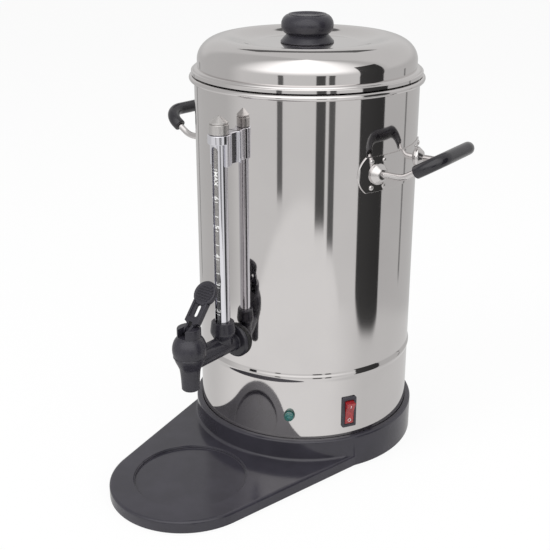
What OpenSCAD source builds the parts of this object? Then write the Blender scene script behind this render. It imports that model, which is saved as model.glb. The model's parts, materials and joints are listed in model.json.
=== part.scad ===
// Coffee urn with a plastic tap, a slotted level gauge and a base with a cup rest.
// Origin: centre of the body on the surface it stands on. +Z is up, the tap faces -Y.

/* [Body] */
// Outside diameter of the steel body
body_d = 215; // [205:1:225]
// Sheet thickness of the vessel, the skirt and the lid
wall_t = 0.8; // [0.6:0.1:1.2]
// Height of the joint between the skirt and the vessel
seam_z = 105; // [101:1:108]
// Height of the vessel's inside floor above that joint
floor_rise = 3.4; // [2.5:0.1:6]
// Height of the centre of the rolled rim
rim_z = 368.8; // [355:0.2:390]
// Radius of the rolled rim
rim_roll_r = 2.7; // [2:0.1:3.2]
// Height of the raised bead round the top of the skirt
bead_h = 10.4; // [8:0.2:14]
// How far that bead stands out
bead_out = 1.2; // [0.6:0.1:2]

/* [Base] */
// Height of the black base ring
base_h = 34; // [28:0.5:40]
// Wall thickness of the base ring
ring_wall = 5.7; // [4.5:0.1:7]
// Distance from the body's axis to the centre of the tongue's round end
tongue_reach = 182; // [175:1:190]
// Radius of the tongue's round end
tongue_r = 73.5; // [70:0.5:78]
// Height of the tongue's top face
tongue_top = 12.8; // [11.5:0.1:15]
// Distance from the body's axis to the centre of the cup recess
recess_reach = 177.5; // [174:0.5:181]
// Radius of the cup recess
recess_r = 53.6; // [46:0.2:56]
// Depth of the cup recess
recess_depth = 2; // [1:0.1:2.6]
// Gap between the base moulding and the surface below
foot_h = 1.2; // [0.8:0.1:2]
// Radius of the rubber feet
foot_r = 5.5; // [4.5:0.1:6]

/* [Lid] */
// Height of the lid's crown above the rim's centre
crown_rise = 37.3; // [30:0.1:46]
// Radius of the lid's side wall
lid_wall_r = 104.4; // [103:0.1:105.4]
// Radial size of the lid's rounded shoulder
shoulder_w = 25.3; // [20:0.1:30]
// Depth of the shallow dish round the knob
dish_depth = 6; // [3:0.1:8]
// Depth of the lid's plug inside the vessel
plug_depth = 9; // [6:0.5:14]
// Largest radius of the knob
knob_r = 24.7; // [20:0.1:28]
// Height of the knob
knob_h = 26.2; // [22:0.2:32]

/* [Tap] */
// Distance from the body's axis to the spout's axis
tap_reach = 173; // [168:0.5:178]
// Height of the barrel's axis
barrel_z = 130; // [127:0.5:134]
// Radius of the barrel
barrel_r = 8.5; // [8:0.1:9]
// Height of the spout's tip
spout_z = 103.5; // [98:0.5:108]
// Radius of the spout at its tip
spout_r = 8.4; // [7.6:0.1:9]
// Largest radius of the bonnet
bonnet_r = 16; // [15:0.1:17]
// Height of the lever's pin
pin_z = 162.7; // [161:0.1:165]
// Distance from the pin to the centre of the lever's paddle
lever_len = 37; // [33:0.5:40]
// Radius of the paddle
paddle_r = 12; // [10:0.2:13]
// How far the closed lever leans back from upright, in degrees
lever_lean = 39.6; // [34:0.2:44]

/* [Gauge] */
// Distance from the body's axis to the gauge's axis
gauge_reach = 127; // [125:0.5:129]
// Outside radius of the slotted guard
guard_r = 7.2; // [6.8:0.1:7.6]
// Outside radius of the glass tube
glass_r = 5.4; // [4.8:0.1:5.6]
// Width of the guard's slot
slot_w = 7.2; // [5:0.1:9]
// Height of the slot's upper end
slot_top = 325; // [300:0.5:326]
// Height of the guard's top end
guard_top = 338; // [335:0.5:342]
// Radius of the cap
cap_r = 8.8; // [8.6:0.1:9.6]

/* [Handles] */
// Angle from the tap round to the middle of each handle
handle_angle = 93.5; // [90:0.5:100]
// Height of the handles' mounting points
handle_z = 296.5; // [270:0.5:310]
// Half the distance between a handle's two mounting points
mount_half = 36.4; // [34:0.2:44]
// Straight and bent run of each leg before it rises
leg_out = 26.5; // [24:0.5:32]
// Length of the rising part of each leg
leg_rise = 38; // [36:0.5:46]
// Angle at which the legs rise, in degrees
rise_angle = 31; // [22:1:38]
// Angle at which the legs spread, in degrees
splay_angle = 1; // [0.5:0.5:10]
// Radius of the bend where a leg starts to rise
leg_bend_r = 22; // [18:1:28]
// Radius of the grip's corners
corner_r = 18.5; // [14:0.5:19]
// Radius of the bent rod
rod_r = 3.1; // [2.5:0.1:3.6]
// Radius of the black grip
grip_r = 6.1; // [5.4:0.1:7]

/* [Controls] */
// Angle from the tap round to the lamp
lamp_angle = 30; // [24:1:36]
// Angle from the tap round to the switch
switch_angle = 61.4; // [54:0.2:70]
// Height of the switch and the lamp
control_z = 60; // [57:0.5:64]
// Width of the switch's bezel
bezel_w = 14.8; // [14:0.1:16]
// Height of the switch's bezel
bezel_h = 32; // [30:0.5:34]
// Radius of the lamp's lens
lens_r = 4.5; // [4:0.1:5]

/* [Brewing parts] */
// Outside radius of the pump tube
tube_r = 4.5; // [4:0.1:5]
// Height of the pump tube's top end
tube_top = 377; // [372:0.5:380]
// Outside radius of the ground-coffee basket
basket_r = 80; // [70:0.5:84]
// Height of the basket
basket_h = 50; // [40:0.5:54]
// Height of the basket's floor
basket_z = 306; // [300:0.5:312]

/* [Hidden] */
$fn = 96;

// Finishes
steel = "#c9c7c3";
black = "#2c2b2d";
rubber = "#1d1d1e";
brass = "#b59a55";
alu = "#a9a8a5";

// Clearances
seat_gap = 0.3;      // between parts of different bodies
fit_gap = 0.05;      // between parts of one body
pin_fit = 0.06;      // radial running fit of the lever's pin
eps = 0.01;
far = 400;           // longer than anything it cuts
fine = 360;          // steps round the body where a thin piece lies against it

// Body
body_r = body_d / 2;
inner_r = body_r - wall_t;
floor_z = seam_z + floor_rise;
floor_under = floor_z - wall_t;
spigot_r = inner_r - 0.2;
spigot_z = seam_z - 11;
bead_z = seam_z - 0.3 - bead_h / 2;
rim_r = body_r + 2.2;                 // radius of the rolled rim's centre line
rim_top = rim_z + rim_roll_r;
well_r = 24;
well_z = floor_z - 16;
well_under = well_z - wall_t;

// Base
ring_in = body_r + seat_gap;
ring_out = ring_in + ring_wall;
ring_round = 2.2;
tongue_root_r = ring_in + 2.2;
tongue_wall = 3;
tongue_round = 2.4;
taper = asin((tongue_root_r - tongue_r) / tongue_reach);
cavity_top = tongue_top - recess_depth - tongue_wall;
ledge_under = foot_h + 2;
ledge_top = ledge_under + 3;
ledge_r = body_r - 17.5;
plate_t = 1;
plate_r = body_r - 8.5;
plate_gap = 0.3;
dome_r = 34;
dome_z = ledge_under + 7;
pocket_depth = 2;
foot_circle = (plate_r + plate_gap + ring_out) / 2;
tongue_foot_x = 38;
tongue_foot_y = tongue_reach + 26;
rib_t = 2;
rib_x = 30;
rib_y_near = tongue_reach - 30;
rib_y_far = tongue_reach + 14;
screw_circle = (ledge_r + plate_r) / 2;
screw_r = 1.5;

// Heater
heater_r = 62;
heater_t = 5;
heater_under = floor_under - heater_t;
element_mid_r = 43;
element_r = 4.2;
element_z = heater_under - element_r / 2;
terminal_drop = 16;
thermostat_r = 7.5;
thermostat_h = 7;
thermostat_x = 14.5;
strap_t = 1.2;
strap_top = well_under - thermostat_h;
stud_r = 3;
nut_h = 5;
nut_af = 10;
stud_low = dome_z - plate_t - nut_h - 1;

// Lid
crown_z = rim_z + crown_rise;
lip_z = rim_top + seat_gap;
plug_r = min(lid_wall_r, inner_r - 1.2);
flange_r = body_r + 2.7;
flange_top = lip_z + 11.8;
shoulder_z = flange_top + 1.6;
crown_r = lid_wall_r - shoulder_w;
dish_r = 48;
dish_z = crown_z - dish_depth;
knob_hole_r = 2.6;
knob_z = dish_z;

// Tap
gasket_t = 1;
flange_back = body_r + gasket_t;
tap_flange_r = 16.4;
tap_flange_t = 4.2;
shank_end = body_r - 15;
wall_hole_r = barrel_r + 0.15;
seam_tap_z = barrel_z + 8;
seat_z = barrel_z - 5.5;
spout_bore_r = spout_r - 3.2;
chamber_r = 7.8;
upper_chamber_r = bonnet_r - 4.4;
bore_r = 4.5;
bridge_w = 5;        // the rib on the barrel, between the gauge's cup and the bonnet
bridge_rise = 2.6;
widest_z = barrel_z + 14.2;
collar_r = 11.1;
collar_z = pin_z - 4.6;
collar_top = pin_z + 3.3;
stem_r = 2.4;
stem_hole_r = stem_r + 0.8;
blade_t = 3;
lever_slot_w = 9;
hub_w = lever_slot_w - 2 * seat_gap;
fork_gap = blade_t + 2 * seat_gap;
hub_r = 3.9;
lever_pin_r = 1.5;
arm_w = 16.5;
arm_start = 7.6;
web_t = 2.4;
rail_t = 5.4;
rail_w = 2.6;
lever_slot_half = 2.2;
rib_count = 6;
rib_pitch = 2.6;
rib_r = 0.9;
valve_lift = 3;
blade_top = lever_pin_r + seat_gap + 1.2;
fork_depth = blade_top + valve_lift + 1;
cup_skirt_r = chamber_r - 0.5;
tap_nut_h = 6;
tap_nut_r = 14;
inner_gasket_t = 1.6;

// Gauge
guard_t = 0.8;
guard_in = guard_r - guard_t;
glass_t = 1.1;
cup_r = 12;
cup_z = barrel_z + 12;
cup_top = barrel_z + 26.5;
socket_z = cup_top - 11.5;
seal_h = 4;
bracket_r = guard_r + 3.15;
bracket_low = slot_top - 18;
bracket_front_low = slot_top + 2.5;
bracket_top = guard_top - 2.6;
bracket_web = 11;
bracket_screw_r = 2;
bracket_screw_z = (bracket_low + bracket_top) / 2;
cap_z = bracket_top + seat_gap;
cap_rim_z = cap_z + 9.6;
cap_top = cap_rim_z + 6.6;

// Handles
handle_plate_t = 1.2;
plate_face = body_r + fit_gap + handle_plate_t;
plate_h = 33;
plate_half = mount_half + 19.6;
plate_end_r = 22.3;
rosette_r = 9.8;
rosette_h = 6.5;
rivet_r = 1.4;
rivet_head_r = 2.4;
rivet_clear = 0.08;
rivet_dx = 14.5;
rivet_dz = 12;
sleeve_start = 8.5;
lap = 0.05;
lap_step = 0.02;
turn_angle = acos(-sin(splay_angle) * cos(rise_angle));
roll_angle = atan2(sin(splay_angle) * sin(rise_angle), cos(splay_angle));
leg_run = leg_bend_r * tan(rise_angle / 2);
corner_run = corner_r * tan(turn_angle / 2);
mount_base = sqrt(body_r * body_r - mount_half * mount_half);
leg_straight = leg_rise - leg_run - corner_run;
bar_half = mount_half + (leg_out + leg_rise * cos(rise_angle)) * sin(splay_angle) - corner_run;

// Controls
bezel_t = 2;
rocker_w = 9;
rocker_half = 11.8;
rocker_out = 4.4;
rocker_r = sqrt(rocker_half * rocker_half + rocker_out * rocker_out);
rocker_tilt = 11;
rocker_dip = 2.4;
cut_w = 12.6;
cut_h = 28;
housing_depth = 20;
holder_r = 5.4;
holder_t = 1.2;
lamp_body_r = 4;
lamp_depth = 16;
lens_out = 6.2;
inlet_w = 31;
inlet_h = 24;
inlet_cut_w = 28;
inlet_cut_h = 20.6;
socket_w = 24;
socket_h = 16.4;
socket_depth = 16;
pin_len = 10;

// Brewing parts
tube_t = 0.9;
tube_low = well_z + 5;
basket_t = 0.8;
basket_tube_r = tube_r + 1.9;
basket_rim_z = basket_z + basket_h;
stop_r = basket_tube_r + 3;
stop_z = basket_z - seat_gap - 4;
spreader_z = basket_rim_z + seat_gap;
spreader_r = basket_r + 1.5;
foot_plate_r = well_r - 2;

// ---------------------------------------------------------------- helpers

// Turns its children, modelled facing -Y, round the body by an angle from the tap
module turned(angle) rotate([0, 0, angle]) children();

// Moves its children to a place in front of the body's axis
module ahead(reach, z = 0) translate([0, -reach, z]) children();

// A cylinder along Y, from y = 0 towards -Y
module spindle(r, len) rotate([90, 0, 0]) cylinder(r = r, h = len);

// A cylinder along X, centred
module crossbar(r, len) rotate([0, 90, 0]) cylinder(r = r, h = len, center = true);

// A solid turned round Z from a list of [radius, height]
module turning(points) rotate_extrude() polygon(points);

// A flat ring
module ring(r_out, r_in, h) linear_extrude(h) difference() {
    circle(r_out);
    circle(r_in);
}

// Points of an arc, on an ellipse where the two radii differ
function arc(cx, cy, rx, ry, a0, a1, n) =
    [for (i = [0:n]) [cx + rx * cos(a0 + (a1 - a0) * i / n), cy + ry * sin(a0 + (a1 - a0) * i / n)]];

// Reversed copy of a list
function flipped(list) = [for (i = [len(list) - 1:-1:0]) list[i]];

// Unit vector between two points
function unit(a, b) = (b - a) / norm(b - a);

// Direction along a list of points at point i
function along(p, i) = unit(p[max(i - 1, 0)], p[min(i + 1, len(p) - 1)]);

// The list moved sideways by t, to the left of its direction
function beside(p, t) =
    [for (i = [0:len(p) - 1]) let (d = along(p, i)) p[i] + t * [-d[1], d[0]]];

// Closed outline of a sheet that follows a list of points
function sheet(p, t) = concat(p, flipped(beside(p, t)));

// A rectangle with round corners, centred
module round_rect(w, h, r) {
    square([w - 2 * r, h], center = true);
    square([w, h - 2 * r], center = true);
    for (x = [-1, 1], y = [-1, 1]) translate([x * (w / 2 - r), y * (h / 2 - r)]) circle(r);
}

// A slot with round ends along Y, centred
module slot_shape(w, h) {
    square([w, h - w], center = true);
    for (s = [-1, 1]) translate([0, s * (h - w) / 2]) circle(w / 2);
}

// A hexagonal nut with a hole
module hex_nut(across, h, hole_r) difference() {
    cylinder(r = across / sqrt(3), h = h, $fn = 6);
    translate([0, 0, -eps]) cylinder(r = hole_r, h = h + 2 * eps);
}

// ---------------------------------------------------------------- base

// A solid with the tongue's plan: round at the end, with straight sides that run back into the ring.
// Its 2D child is the section outwards from the middle of the round end, between low and high. The
// middle laps well into both sides.
module tongue_form(low, high) {
    side = tongue_reach * cos(taper);
    mid = tongue_r / 4;
    spread = side * sin(taper) + mid;
    translate([0, -tongue_reach, 0]) {
        rotate([0, 0, 180 + taper]) rotate_extrude(angle = 180 - 2 * taper) children();
        for (s = [0, 1]) mirror([s, 0, 0]) rotate([0, 0, -taper]) translate([0, side, 0])
            rotate([90, 0, 0]) linear_extrude(side) children();
        translate([0, 0, low]) linear_extrude(high - low)
            polygon([[-mid, 0], [mid, 0], [spread, side * cos(taper)], [-spread, side * cos(taper)]]);
    }
}

// The tongue's slab, with its top edge rounded over
module tongue_slab() tongue_form(foot_h, tongue_top) polygon(concat(
    [[0, foot_h], [tongue_r, foot_h]],
    arc(tongue_r - tongue_round, tongue_top - tongue_round, tongue_round, tongue_round, 0, 90, 5),
    [[0, tongue_top]]));

// The tongue's plan as one outline, drawn in from its edge
function tongue_plan(inset) = concat(
    arc(0, -tongue_reach, tongue_r - inset, tongue_r - inset, 180 + taper, 360 - taper, 48),
    [for (s = [1, -1]) (tongue_root_r - inset) * [s * cos(taper), -sin(taper)]]);

// The hollow under the tongue, with its ribs and the pillars that hold the front feet left standing
module tongue_cavity() difference() {
    translate([0, 0, -1]) linear_extrude(cavity_top + 1) polygon(tongue_plan(tongue_wall));
    translate([0, 0, -2]) cylinder(r = ring_out + 1.5, h = cavity_top + 4);
    for (x = [-rib_x, 0, rib_x]) translate([x - rib_t / 2, -tongue_reach - tongue_r, foot_h + 1])
        cube([rib_t, tongue_reach, cavity_top]);
    for (y = [rib_y_near, rib_y_far]) translate([-tongue_r, -y - rib_t / 2, foot_h + 1])
        cube([2 * tongue_r, rib_t, cavity_top]);
    for (x = [-1, 1]) translate([x * tongue_foot_x, -tongue_foot_y, -2]) cylinder(r = foot_r + 2.4, h = cavity_top + 4);
}

// The ring's wall, rounded at its outer top edge, with a fine step at its inner edge
module ring_wall_solid() turning(concat(
    [[ledge_r, foot_h], [ring_out, foot_h]],
    arc(ring_out - ring_round, base_h - ring_round, ring_round, ring_round, 0, 90, 6),
    [[ring_in + 1.6, base_h], [ring_in + 1.6, base_h - 1], [ring_in, base_h - 1],
     [ring_in, ledge_top], [ledge_r, ledge_top]]));

// Soft corner between the ring and the tongue's top
module root_fillet() intersection() {
    turning(concat([[ring_out - 1, tongue_top - 1], [ring_out + 3, tongue_top - 1]],
                   arc(ring_out + 3, tongue_top + 3, 3, 3, 270, 180, 5),
                   [[ring_out - 1, tongue_top + 3]]));
    tongue_form(tongue_top - 0.8, tongue_top + 6) translate([0, tongue_top - 0.8])
        square([tongue_r - tongue_round - 0.2, 6.8]);
}

module feet_places() {
    for (a = [52, -52, 140, -140]) turned(a) ahead(foot_circle) children();
    for (x = [-1, 1]) translate([x * tongue_foot_x, -tongue_foot_y, 0]) children();
}

module plate_screw_places() for (a = [20, 110, 200, 290]) turned(a) ahead(screw_circle) children();

module base_tray() {
    color(black) difference() {
        union() {
            difference() {
                tongue_slab();
                translate([0, 0, -1]) cylinder(r = ring_in + 1, h = base_h);
                tongue_cavity();
                ahead(recess_reach, tongue_top - recess_depth) cylinder(r = recess_r, h = recess_depth + 5);
            }
            ring_wall_solid();
            root_fillet();
        }
        translate([0, 0, -1]) cylinder(r = plate_r + plate_gap, h = ledge_under + 1);
        feet_places() translate([0, 0, -1]) cylinder(r = foot_r + fit_gap, h = foot_h + pocket_depth + 1);
        plate_screw_places() translate([0, 0, -1]) cylinder(r = screw_r + fit_gap, h = base_h);
    }
}

module base_plate() {
    color(alu) difference() {
        turning([[0, dome_z - plate_t], [dome_r, dome_z - plate_t], [dome_r + 12, ledge_under - plate_t],
                 [plate_r, ledge_under - plate_t], [plate_r, ledge_under], [dome_r + 12, ledge_under],
                 [dome_r, dome_z], [0, dome_z]]);
        cylinder(r = stud_r + fit_gap, h = base_h);
        plate_screw_places() cylinder(r = screw_r + 0.3, h = base_h);
        for (a = [0:45:315]) rotate([0, 0, a]) translate([0, 66, 0]) linear_extrude(base_h) slot_shape(5, 22);
    }
}

module base_screws() {
    color(alu) plate_screw_places() {
        translate([0, 0, ledge_under - plate_t - 1.2]) cylinder(r = 2.8, h = 1.2);
        translate([0, 0, ledge_under - plate_t]) cylinder(r = screw_r, h = ledge_top - ledge_under + plate_t - 0.2);
    }
}

module rubber_feet() {
    color(rubber) feet_places() cylinder(r = foot_r, h = foot_h + pocket_depth);
}

// ---------------------------------------------------------------- body

// Height profile of the skirt's raised bead
function bead_bump(z) = bead_out * (1 + cos(360 * (z - bead_z) / bead_h)) / 2;
bead_steps = 12;
skirt_path = concat([[body_r, ledge_top]],
    [for (i = [0:bead_steps]) let (z = bead_z + bead_h * (i / bead_steps - 0.5)) [body_r + bead_bump(z), z]],
    [[body_r, seam_z]]);

module heater_skirt() {
    color(steel) difference() {
        turning(sheet(skirt_path, wall_t));
        turned(switch_angle) ahead(body_r - 10, control_z)
            rotate([90, 0, 0]) linear_extrude(20) square([cut_w + 0.4, cut_h + 0.4], center = true);
        turned(lamp_angle) ahead(body_r - 10, control_z) spindle(lamp_body_r + 0.2, 20);
        turned(180) ahead(body_r - 10, control_z)
            rotate([90, 0, 0]) linear_extrude(20) square([inlet_cut_w + 0.4, inlet_cut_h + 0.4], center = true);
    }
}

module vessel() {
    color(steel) difference() {
        union() {
            turning([[0, well_under], [well_r + wall_t, well_under], [well_r + wall_t, floor_under],
                     [spigot_r - wall_t, floor_under], [spigot_r - wall_t, spigot_z], [spigot_r, spigot_z],
                     [spigot_r, seam_z], [body_r, seam_z], [body_r, rim_z + 1], [inner_r, rim_z + 1],
                     [inner_r, floor_z], [well_r, floor_z], [well_r, well_z], [0, well_z]]);
            rotate_extrude() difference() {
                translate([rim_r, rim_z]) circle(rim_roll_r);
                translate([rim_r, rim_z]) circle(rim_roll_r - wall_t);
            }
        }
        ahead(body_r - 10, barrel_z) spindle(wall_hole_r, 20);
        ahead(body_r - 10, bracket_screw_z) spindle(bracket_screw_r + 0.15, 20);
    }
}

// ---------------------------------------------------------------- heater

module heater_plate() {
    color(alu) difference() {
        translate([0, 0, heater_under]) ring(heater_r, well_r + wall_t + 0.4, heater_t);
        translate([0, 0, element_z]) rotate_extrude() translate([element_mid_r, 0]) circle(element_r + fit_gap);
    }
}

module heating_element() {
    sweep = 320;
    color("#6f6a66") rotate([0, 0, 90 + (360 - sweep) / 2]) translate([0, 0, element_z]) {
        rotate_extrude(angle = sweep) translate([element_mid_r, 0]) circle(element_r);
        for (a = [0, sweep]) rotate([0, 0, a]) translate([element_mid_r, 0, -terminal_drop])
            cylinder(r = element_r * 0.7, h = terminal_drop);
    }
}

module thermostats() {
    color("#8c8a86") for (s = [-1, 1]) translate([s * thermostat_x, 0, strap_top]) difference() {
        cylinder(r = thermostat_r, h = thermostat_h);
        translate([0, 0, -eps]) cylinder(r = 2.2, h = 1.5);
    }
}

module thermostat_strap() {
    color(alu) translate([0, 0, strap_top - strap_t]) linear_extrude(strap_t) difference() {
        round_rect(2 * (thermostat_x + thermostat_r), 12, 5);
        circle(stud_r + fit_gap);
    }
}

module terminal_block() {
    color("#d8d4c8") translate([55, 36, ledge_under]) difference() {
        translate([-17, -8, 0]) cube([34, 16, 12]);
        for (x = [-10, 0, 10]) {
            translate([x, 0, 6]) cylinder(r = 2.6, h = 10);
            translate([x, -10, 5]) rotate([-90, 0, 0]) cylinder(r = 1.8, h = 20);
        }
    }
}

module centre_stud() {
    color(alu) translate([0, 0, stud_low]) cylinder(r = stud_r, h = well_under - stud_low);
}

module stud_nuts() {
    color(alu) {
        translate([0, 0, dome_z - plate_t - nut_h]) hex_nut(nut_af, nut_h, stud_r + fit_gap);
        translate([0, 0, strap_top - strap_t - nut_h]) hex_nut(nut_af, nut_h, stud_r + fit_gap);
    }
}

// ---------------------------------------------------------------- controls

// Places a control on the skirt: its face towards -Y, its back plane at y = 0
module on_skirt(angle) turned(angle) ahead(body_r + fit_gap, control_z) children();

module power_inlet() {
    color(black) on_skirt(180) difference() {
        union() {
            rotate([90, 0, 0]) linear_extrude(2.4) round_rect(inlet_w, inlet_h, 3);
            translate([0, 18, 0]) rotate([90, 0, 0]) linear_extrude(19) round_rect(inlet_cut_w, inlet_cut_h, 2);
        }
        translate([0, socket_depth - 2.4, 0]) rotate([90, 0, 0]) linear_extrude(far) difference() {
            square([socket_w, socket_h], center = true);
            for (s = [-1, 1]) translate([s * socket_w / 2, socket_h / 2]) rotate(45) square(6, center = true);
        }
        inlet_pin_places() translate([0, 0, 0]) rotate([90, 0, 0]) linear_extrude(60, center = true)
            square([2 + fit_gap, 4 + fit_gap], center = true);
    }
}

module inlet_pin_places() {
    for (x = [-7, 7]) translate([x, 0, -2.4]) children();
    translate([0, 0, 2.2]) children();
}

module inlet_pins() {
    color(brass) on_skirt(180) inlet_pin_places()
        translate([0, 28, 0]) rotate([90, 0, 0]) linear_extrude(28 - socket_depth + 2.4 + pin_len)
            square([2 - fit_gap, 4 - fit_gap], center = true);
}

module switch_housing() {
    window_h = 2 * rocker_r + 2 * seat_gap;
    window_w = rocker_w + 2 * seat_gap;
    color(black) on_skirt(switch_angle) difference() {
        union() {
            rotate([90, 0, 0]) linear_extrude(bezel_t) round_rect(bezel_w, bezel_h, 1.4);
            translate([0, housing_depth, 0]) rotate([90, 0, 0]) linear_extrude(housing_depth + eps)
                square([cut_w, cut_h], center = true);
            for (z = [-9, 0, 9]) translate([-3, housing_depth - eps, z - 0.4]) cube([6, 7, 0.8]);
        }
        translate([0, 10, 0]) rotate([90, 0, 0]) linear_extrude(20) square([window_w, window_h], center = true);
        translate([0, 0, 0]) crossbar(1.5 + pin_fit, 11.4);
    }
}

// The rocker in its off position: the lower end is pressed in and the upper end stands out
module switch_rocker() {
    color("#b3161b") on_skirt(switch_angle) {
        rotate([rocker_tilt, 0, 0]) intersection() {
            rotate([90, 0, 90]) linear_extrude(rocker_w, center = true)
                polygon([[-rocker_out, -rocker_half], [-rocker_dip, 0], [-rocker_out, rocker_half],
                         [5, rocker_half], [8, 2], [8, -2], [5, -rocker_half]]);
            crossbar(rocker_r, rocker_w + 1);
        }
        crossbar(1.5, 11.2);
    }
}

module lamp_holder() {
    color("#0d3a33") on_skirt(lamp_angle) difference() {
        union() {
            spindle(holder_r, holder_t);
            translate([0, lamp_depth, 0]) spindle(lamp_body_r, lamp_depth + eps);
        }
        translate([0, 8, 0]) spindle(lamp_body_r - 1, 20);
    }
}

module lamp_lens() {
    color("#1f8a72") on_skirt(lamp_angle) {
        rotate([90, 0, 0]) turning([[0, holder_t], [lens_r, holder_t], [lens_r, lens_out - 1.4],
                                    [lens_r - 0.5, lens_out - 0.5], [lens_r - 1.6, lens_out],
                                    [2.2, lens_out + 0.3], [0, lens_out + 0.4]]);
        translate([0, 6, 0]) spindle(lamp_body_r - 1 - fit_gap, 6 + holder_t);
    }
}

module lamp_nut() {
    color(alu) on_skirt(lamp_angle) translate([0, wall_t + 0.4 + 4, 0]) rotate([90, 0, 0]) difference() {
        hex_nut(13, 4, lamp_body_r + fit_gap);
    }
}

// ---------------------------------------------------------------- tap

// Outside profile of the spout and the lower half of the tap's bulb
spout_profile = [
    [0, spout_z], [spout_r - 0.8, spout_z], [spout_r, spout_z + 0.8], [spout_r + 0.4, barrel_z - 14],
    [spout_r + 1.2, barrel_z - 6.5], [spout_r + 2.4, barrel_z - 3], [spout_r + 4.2, barrel_z + 1],
    [spout_r + 5.7, barrel_z + 4.6], [bonnet_r - 0.7, seam_tap_z], [0, seam_tap_z]
];

module tap_body() {
    color(black) difference() {
        union() {
            ahead(tap_reach) turning(spout_profile);
            ahead(shank_end, barrel_z) spindle(barrel_r, tap_reach - shank_end);
            ahead(flange_back, barrel_z) rotate([90, 0, 0]) turning(concat(
                [[0, 0], [tap_flange_r - 0.6, 0], [tap_flange_r, 0.6]],
                arc(tap_flange_r - 2.4, tap_flange_t - 2.4, 2.4, 2.4, 0, 90, 5),
                [[0, tap_flange_t]]));
            ahead(gauge_reach) turning(concat(
                [[0, barrel_z], [barrel_r - 0.4, barrel_z], [cup_r - 3, cup_z - 2]],
                arc(cup_r - 5, cup_z + 5, 5, 6, -50, 60, 6),
                [[cup_r - 1.2, cup_top - 1], [cup_r - 1.8, cup_top], [0, cup_top]]));
            translate([-bridge_w / 2, bonnet_r + seat_gap - tap_reach, barrel_z])
                cube([bridge_w, tap_reach - gauge_reach - bonnet_r - seat_gap, barrel_r + bridge_rise]);
        }
        ahead(tap_reach, spout_z - 1) cylinder(r = spout_bore_r, h = far);
        ahead(tap_reach, seat_z) cylinder(r = chamber_r, h = far);
        ahead(tap_reach, barrel_z + 3) cylinder(r = upper_chamber_r, h = far);
        ahead(shank_end - 1, barrel_z) spindle(bore_r, tap_reach - shank_end + 1);
        ahead(gauge_reach, socket_z) cylinder(r = guard_r + 0.1, h = far);
        ahead(gauge_reach, barrel_z) cylinder(r = 2.5, h = far);
    }
}

module tap_bonnet() {
    color(black) ahead(tap_reach) difference() {
        turning(concat(
            [[0, seam_tap_z], [bonnet_r - 0.7, seam_tap_z], [bonnet_r - 0.4, seam_tap_z + 2]],
            arc(bonnet_r - 10, widest_z, 10, collar_z - widest_z + 0.4, 0, 62, 7),
            [[collar_r, collar_z], [collar_r, collar_top - 0.8], [collar_r - 0.8, collar_top], [0, collar_top]]));
        translate([0, 0, seam_tap_z - 1]) turning([[0, 0], [upper_chamber_r, 0], [upper_chamber_r, 6],
                                                  [collar_r - 4, collar_z - seam_tap_z - 2.6],
                                                  [0, collar_z - seam_tap_z - 2.6]]);
        cylinder(r = stem_hole_r, h = far);
        translate([-lever_slot_w / 2, -bonnet_r, collar_z]) cube([lever_slot_w, 2 * bonnet_r, 20]);
        translate([0, 0, pin_z]) crossbar(lever_pin_r + fit_gap, 60);
    }
}

module lever_pin() {
    color(alu) ahead(tap_reach, pin_z) crossbar(lever_pin_r, 2 * collar_r - 2.4);
}

// A flat outline in the lever's own plane, made t thick about it
module lever_sheet(t) rotate([90, 0, 0]) linear_extrude(t, center = true) children();

module tap_lever() {
    arm_end = lever_len - paddle_r + 3;
    color(black) ahead(tap_reach, pin_z) rotate([-lever_lean, 0, 0]) difference() {
        union() {
            crossbar(hub_r, hub_w);
            lever_sheet(rail_t - 0.4) translate([-hub_w / 2, 0]) square([hub_w, arm_start + 4]);
            lever_sheet(web_t) polygon([[-hub_w / 2, arm_start - 1], [hub_w / 2, arm_start - 1],
                                        [arm_w / 2, arm_start + 3], [arm_w / 2, arm_end],
                                        [-arm_w / 2, arm_end], [-arm_w / 2, arm_start + 3]]);
            lever_sheet(rail_t) {
                for (s = [-1, 1]) translate([s * (arm_w - rail_w) / 2, (arm_start + 2.4 + arm_end) / 2])
                    square([rail_w, arm_end - arm_start - 2.4], center = true);
                polygon([[-hub_w / 2, arm_start - 0.6], [hub_w / 2, arm_start - 0.6], [arm_w / 2, arm_start + 2.6],
                         [arm_w / 2, arm_start + 5], [-arm_w / 2, arm_start + 5], [-arm_w / 2, arm_start + 2.6]]);
            }
            translate([0, 0, lever_len]) rotate([90, 0, 0]) translate([0, 0, -rail_t / 2]) turning([
                [0, 0.6], [paddle_r - 2.6, 0.6], [paddle_r - 1.6, 0], [paddle_r - 0.6, 0.5], [paddle_r, 1.4],
                [paddle_r, rail_t - 1.2], [paddle_r - 0.5, rail_t - 0.4], [paddle_r - 1.4, rail_t],
                [paddle_r - 2.4, rail_t - 0.6], [0, rail_t - 0.6]]);
            for (i = [0:rib_count - 1]) {
                z = rib_pitch * (i - (rib_count - 1) / 2);
                half = sqrt(pow(paddle_r - 3.4, 2) - z * z);
                translate([0, -rail_t / 2 + 0.6, lever_len + z]) crossbar(rib_r, 2 * half);
            }
        }
        crossbar(lever_pin_r + pin_fit, 30);
        lever_sheet(30) translate([-fork_gap / 2, -20]) square([fork_gap, 20 + fork_depth]);
        lever_sheet(30) translate([0, arm_start + 12]) slot_shape(2 * lever_slot_half, 12);
    }
}

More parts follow.
